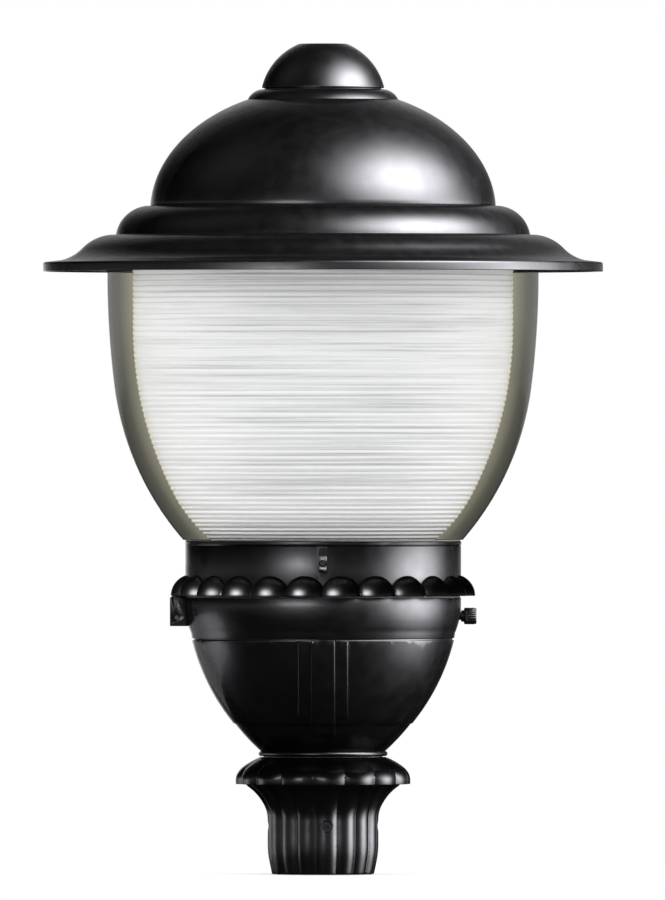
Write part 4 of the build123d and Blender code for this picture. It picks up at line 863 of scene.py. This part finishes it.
bell = np.array(bell_points)
along = np.concatenate([[0], np.cumsum(np.hypot(*np.diff(bell, axis=0).T))])


def on_bell(distance):
    """The point of the bell's outline at a distance along it."""
    return np.array([np.interp(distance, along, bell[:, 0]), np.interp(distance, along, bell[:, 1])])


prism_count, prism_depth = 57, 1.4
prism_shape = [(0.0, 0.0), (0.12, 0.35), (0.7, 1.0), (0.93, 0.3)]  # shares of the pitch and of the depth
ribbed = [(refractor_neck_radius, refractor_foot)]
for i in range(prism_count):
    for share, height_share in prism_shape:
        distance = along[-1] * (i + share) / prism_count
        way = on_bell(distance + 1.0) - on_bell(distance - 1.0)
        way /= np.hypot(*way)
        outwards = np.array([way[1], -way[0]])
        ribbed.append(tuple(on_bell(distance) + outwards * (height_share * prism_depth - prism_depth)))
ribbed.append((refractor_radius - prism_depth, globe_top))
refractor = turned("refractor_ribbed", ribbed, turns=176, wall=2.4, smooth=28)
dressed(refractor, prisms, "head", "prism_glass", "refractor")

# %% [markdown]
# ## Cast pieces
# The reeded fitter, gear housing, collar and their small parts already have the right shape in the CAD
# model, but its edges are knife-sharp and its faces are loose triangles. A copy of each has its doubles
# merged, its flat triangles joined and its sharp edges rounded, which is what makes them catch the light
# as real castings do.

# %% A softened copy of a CAD node
same_place = 2e-6  # metres within which two vertices are one
same_plane = math.radians(0.6)


def softened(name, node_name, width, segments, angle):
    """A copy of a CAD node with its triangles joined and its sharp edges rounded."""
    deselect()
    piece = bpy.data.objects.new(name, nodes[node_name].data.copy())
    piece.data.name = name
    bpy.context.scene.collection.objects.link(piece)
    bpy.context.view_layer.objects.active = piece
    piece.select_set(True)
    bpy.ops.object.mode_set(mode="EDIT")
    bpy.ops.mesh.customdata_custom_splitnormals_clear()
    bpy.ops.mesh.select_all(action="SELECT")
    bpy.ops.mesh.remove_doubles(threshold=same_place)
    bpy.ops.mesh.dissolve_limited(angle_limit=same_plane)
    bpy.ops.object.mode_set(mode="OBJECT")
    edges_softened(piece, width, segments, angle, smooth=32)
    return piece


print("tool for softened copies ready")

# %% Castings
castings = [
    # piece, CAD node, width of its rounded edges in millimetres, angle that counts as an edge, body
    ("fitter_reeded", "post_fitter", 0.5, 40, "base"),
    ("housing_cast", "ballast_housing", 0.5, 32, "base"),
    ("hinge_block_cast", "hinge_block", 0.6, 32, "base"),
    ("hinge_lug_cast", "hinge_lug", 0.6, 32, "head"),
    ("collar_cast", "globe_collar", 0.5, 32, "head"),
    ("scallops_cast", "scallop_ring", 0.4, 40, "head"),
]
for name, node_name, width, angle, body in castings:
    piece = softened(name, node_name, width, 2, angle)
    dressed(piece, cast_coat, body, "black_coat", node_name)

# %% Thumb screw
knob_coat = black_coat("black_screw_coat", 0.25, 0.38, 0.3)
thumb_screw = softened("thumb_screw_fluted", "thumb_screw", 0.15, 1, 40)
dressed(thumb_screw, knob_coat, "knob", "black_screw", "thumb_screw")

# %% [markdown]
# ## Everything else
# The remaining CAD nodes keep their meshes and get finishes. Most of them show only through the collar's
# slots, through the globe, from below, or when the head is tipped open.

# %% Finishes for the CAD nodes that stay
finish_of = {
    cast_coat: ["collar_screws"],
    knob_coat: ["fitter_set_screws", "hinge_pin", "hinge_block_screws"],
    stainless: [
        "neck_bolts",
        "tray_screws",
        "gear_screws",
        "cover_screws",
        "cover_posts",
        "latch_retainer",
        "head_screws",
        "neck_clips",
        "soffit_screws",
        "globe_screws",
        "reflector_screws",
        "finial_stud",
        "finial_nut",
        "clamp_nut",
    ],
    rubber: [
        "neck_gasket",
        "housing_seal",
        "tray_grommet",
        "globe_gasket",
        "refractor_seal",
        "refractor_gasket",
        "globe_rim_gasket",
    ],
    zinc_sheet: [
        "gear_tray",
        "ballast_bracket",
        "capacitor_strap",
        "holder_bracket",
        "latch_tab",
        "dome_rivets",
    ],
    core_plates: ["ballast_core"],
    winding: ["ballast_coil"],
    can_metal: ["capacitor"],
    potted: ["ignitor"],
    terminal: ["terminal_block"],
    brass: ["terminal_screws", "earth_stud", "lampholder_contacts", "lamp_cap"],
    white_coat: ["gear_cover", "soffit_ring", "reflector"],
    porcelain: ["lampholder"],
    lamp_clear: ["lamp_envelope", "arc_tube"],
}
finished = set()
for finish, names in finish_of.items():
    for name in names:
        nodes[name].data.materials.clear()
        nodes[name].data.materials.append(finish)
        finished.add(name)
left = sorted(n for n, o in nodes.items() if not o.hide_render and n not in finished)
print(len(finished), "nodes finished, left:", left)

# %% [markdown]
# ## What each lamp lights
# The highlight lamps are linked to the painted and bare metal pieces. Clear pieces and the refractor are left
# out, because their look comes from the white ground behind them, and so is white enamel, which would
# clip. The scallops have a panel of their own, because each is a small round mirror that sees another side
# of the room.
# The big softboxes leave out the castings at the foot and round the globe's neck, which stay dark on top.

# %% Pieces for the highlight lamps
clear_pieces = {"globe_clear", "refractor_ribbed", "lamp_envelope", "arc_tube"}
white_pieces = {"gear_cover", "soffit_ring", "reflector"}
dark_on_top = {"scallops_cast", "collar_cast", "fitter_reeded"}
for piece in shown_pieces():
    if piece.name in clear_pieces or piece.name in white_pieces:
        continue
    if piece.name == "scallops_cast":
        lit_as_lobes.objects.link(piece)
    else:
        lit_by_strips.objects.link(piece)
    if piece.name not in dark_on_top:
        lit_by_key.objects.link(piece)

# %% [markdown]
# ## Look settings
# The Standard view shows colours as they are written.

# %% Finish
bpy.context.scene.view_settings.view_transform = "Standard"
deselect()
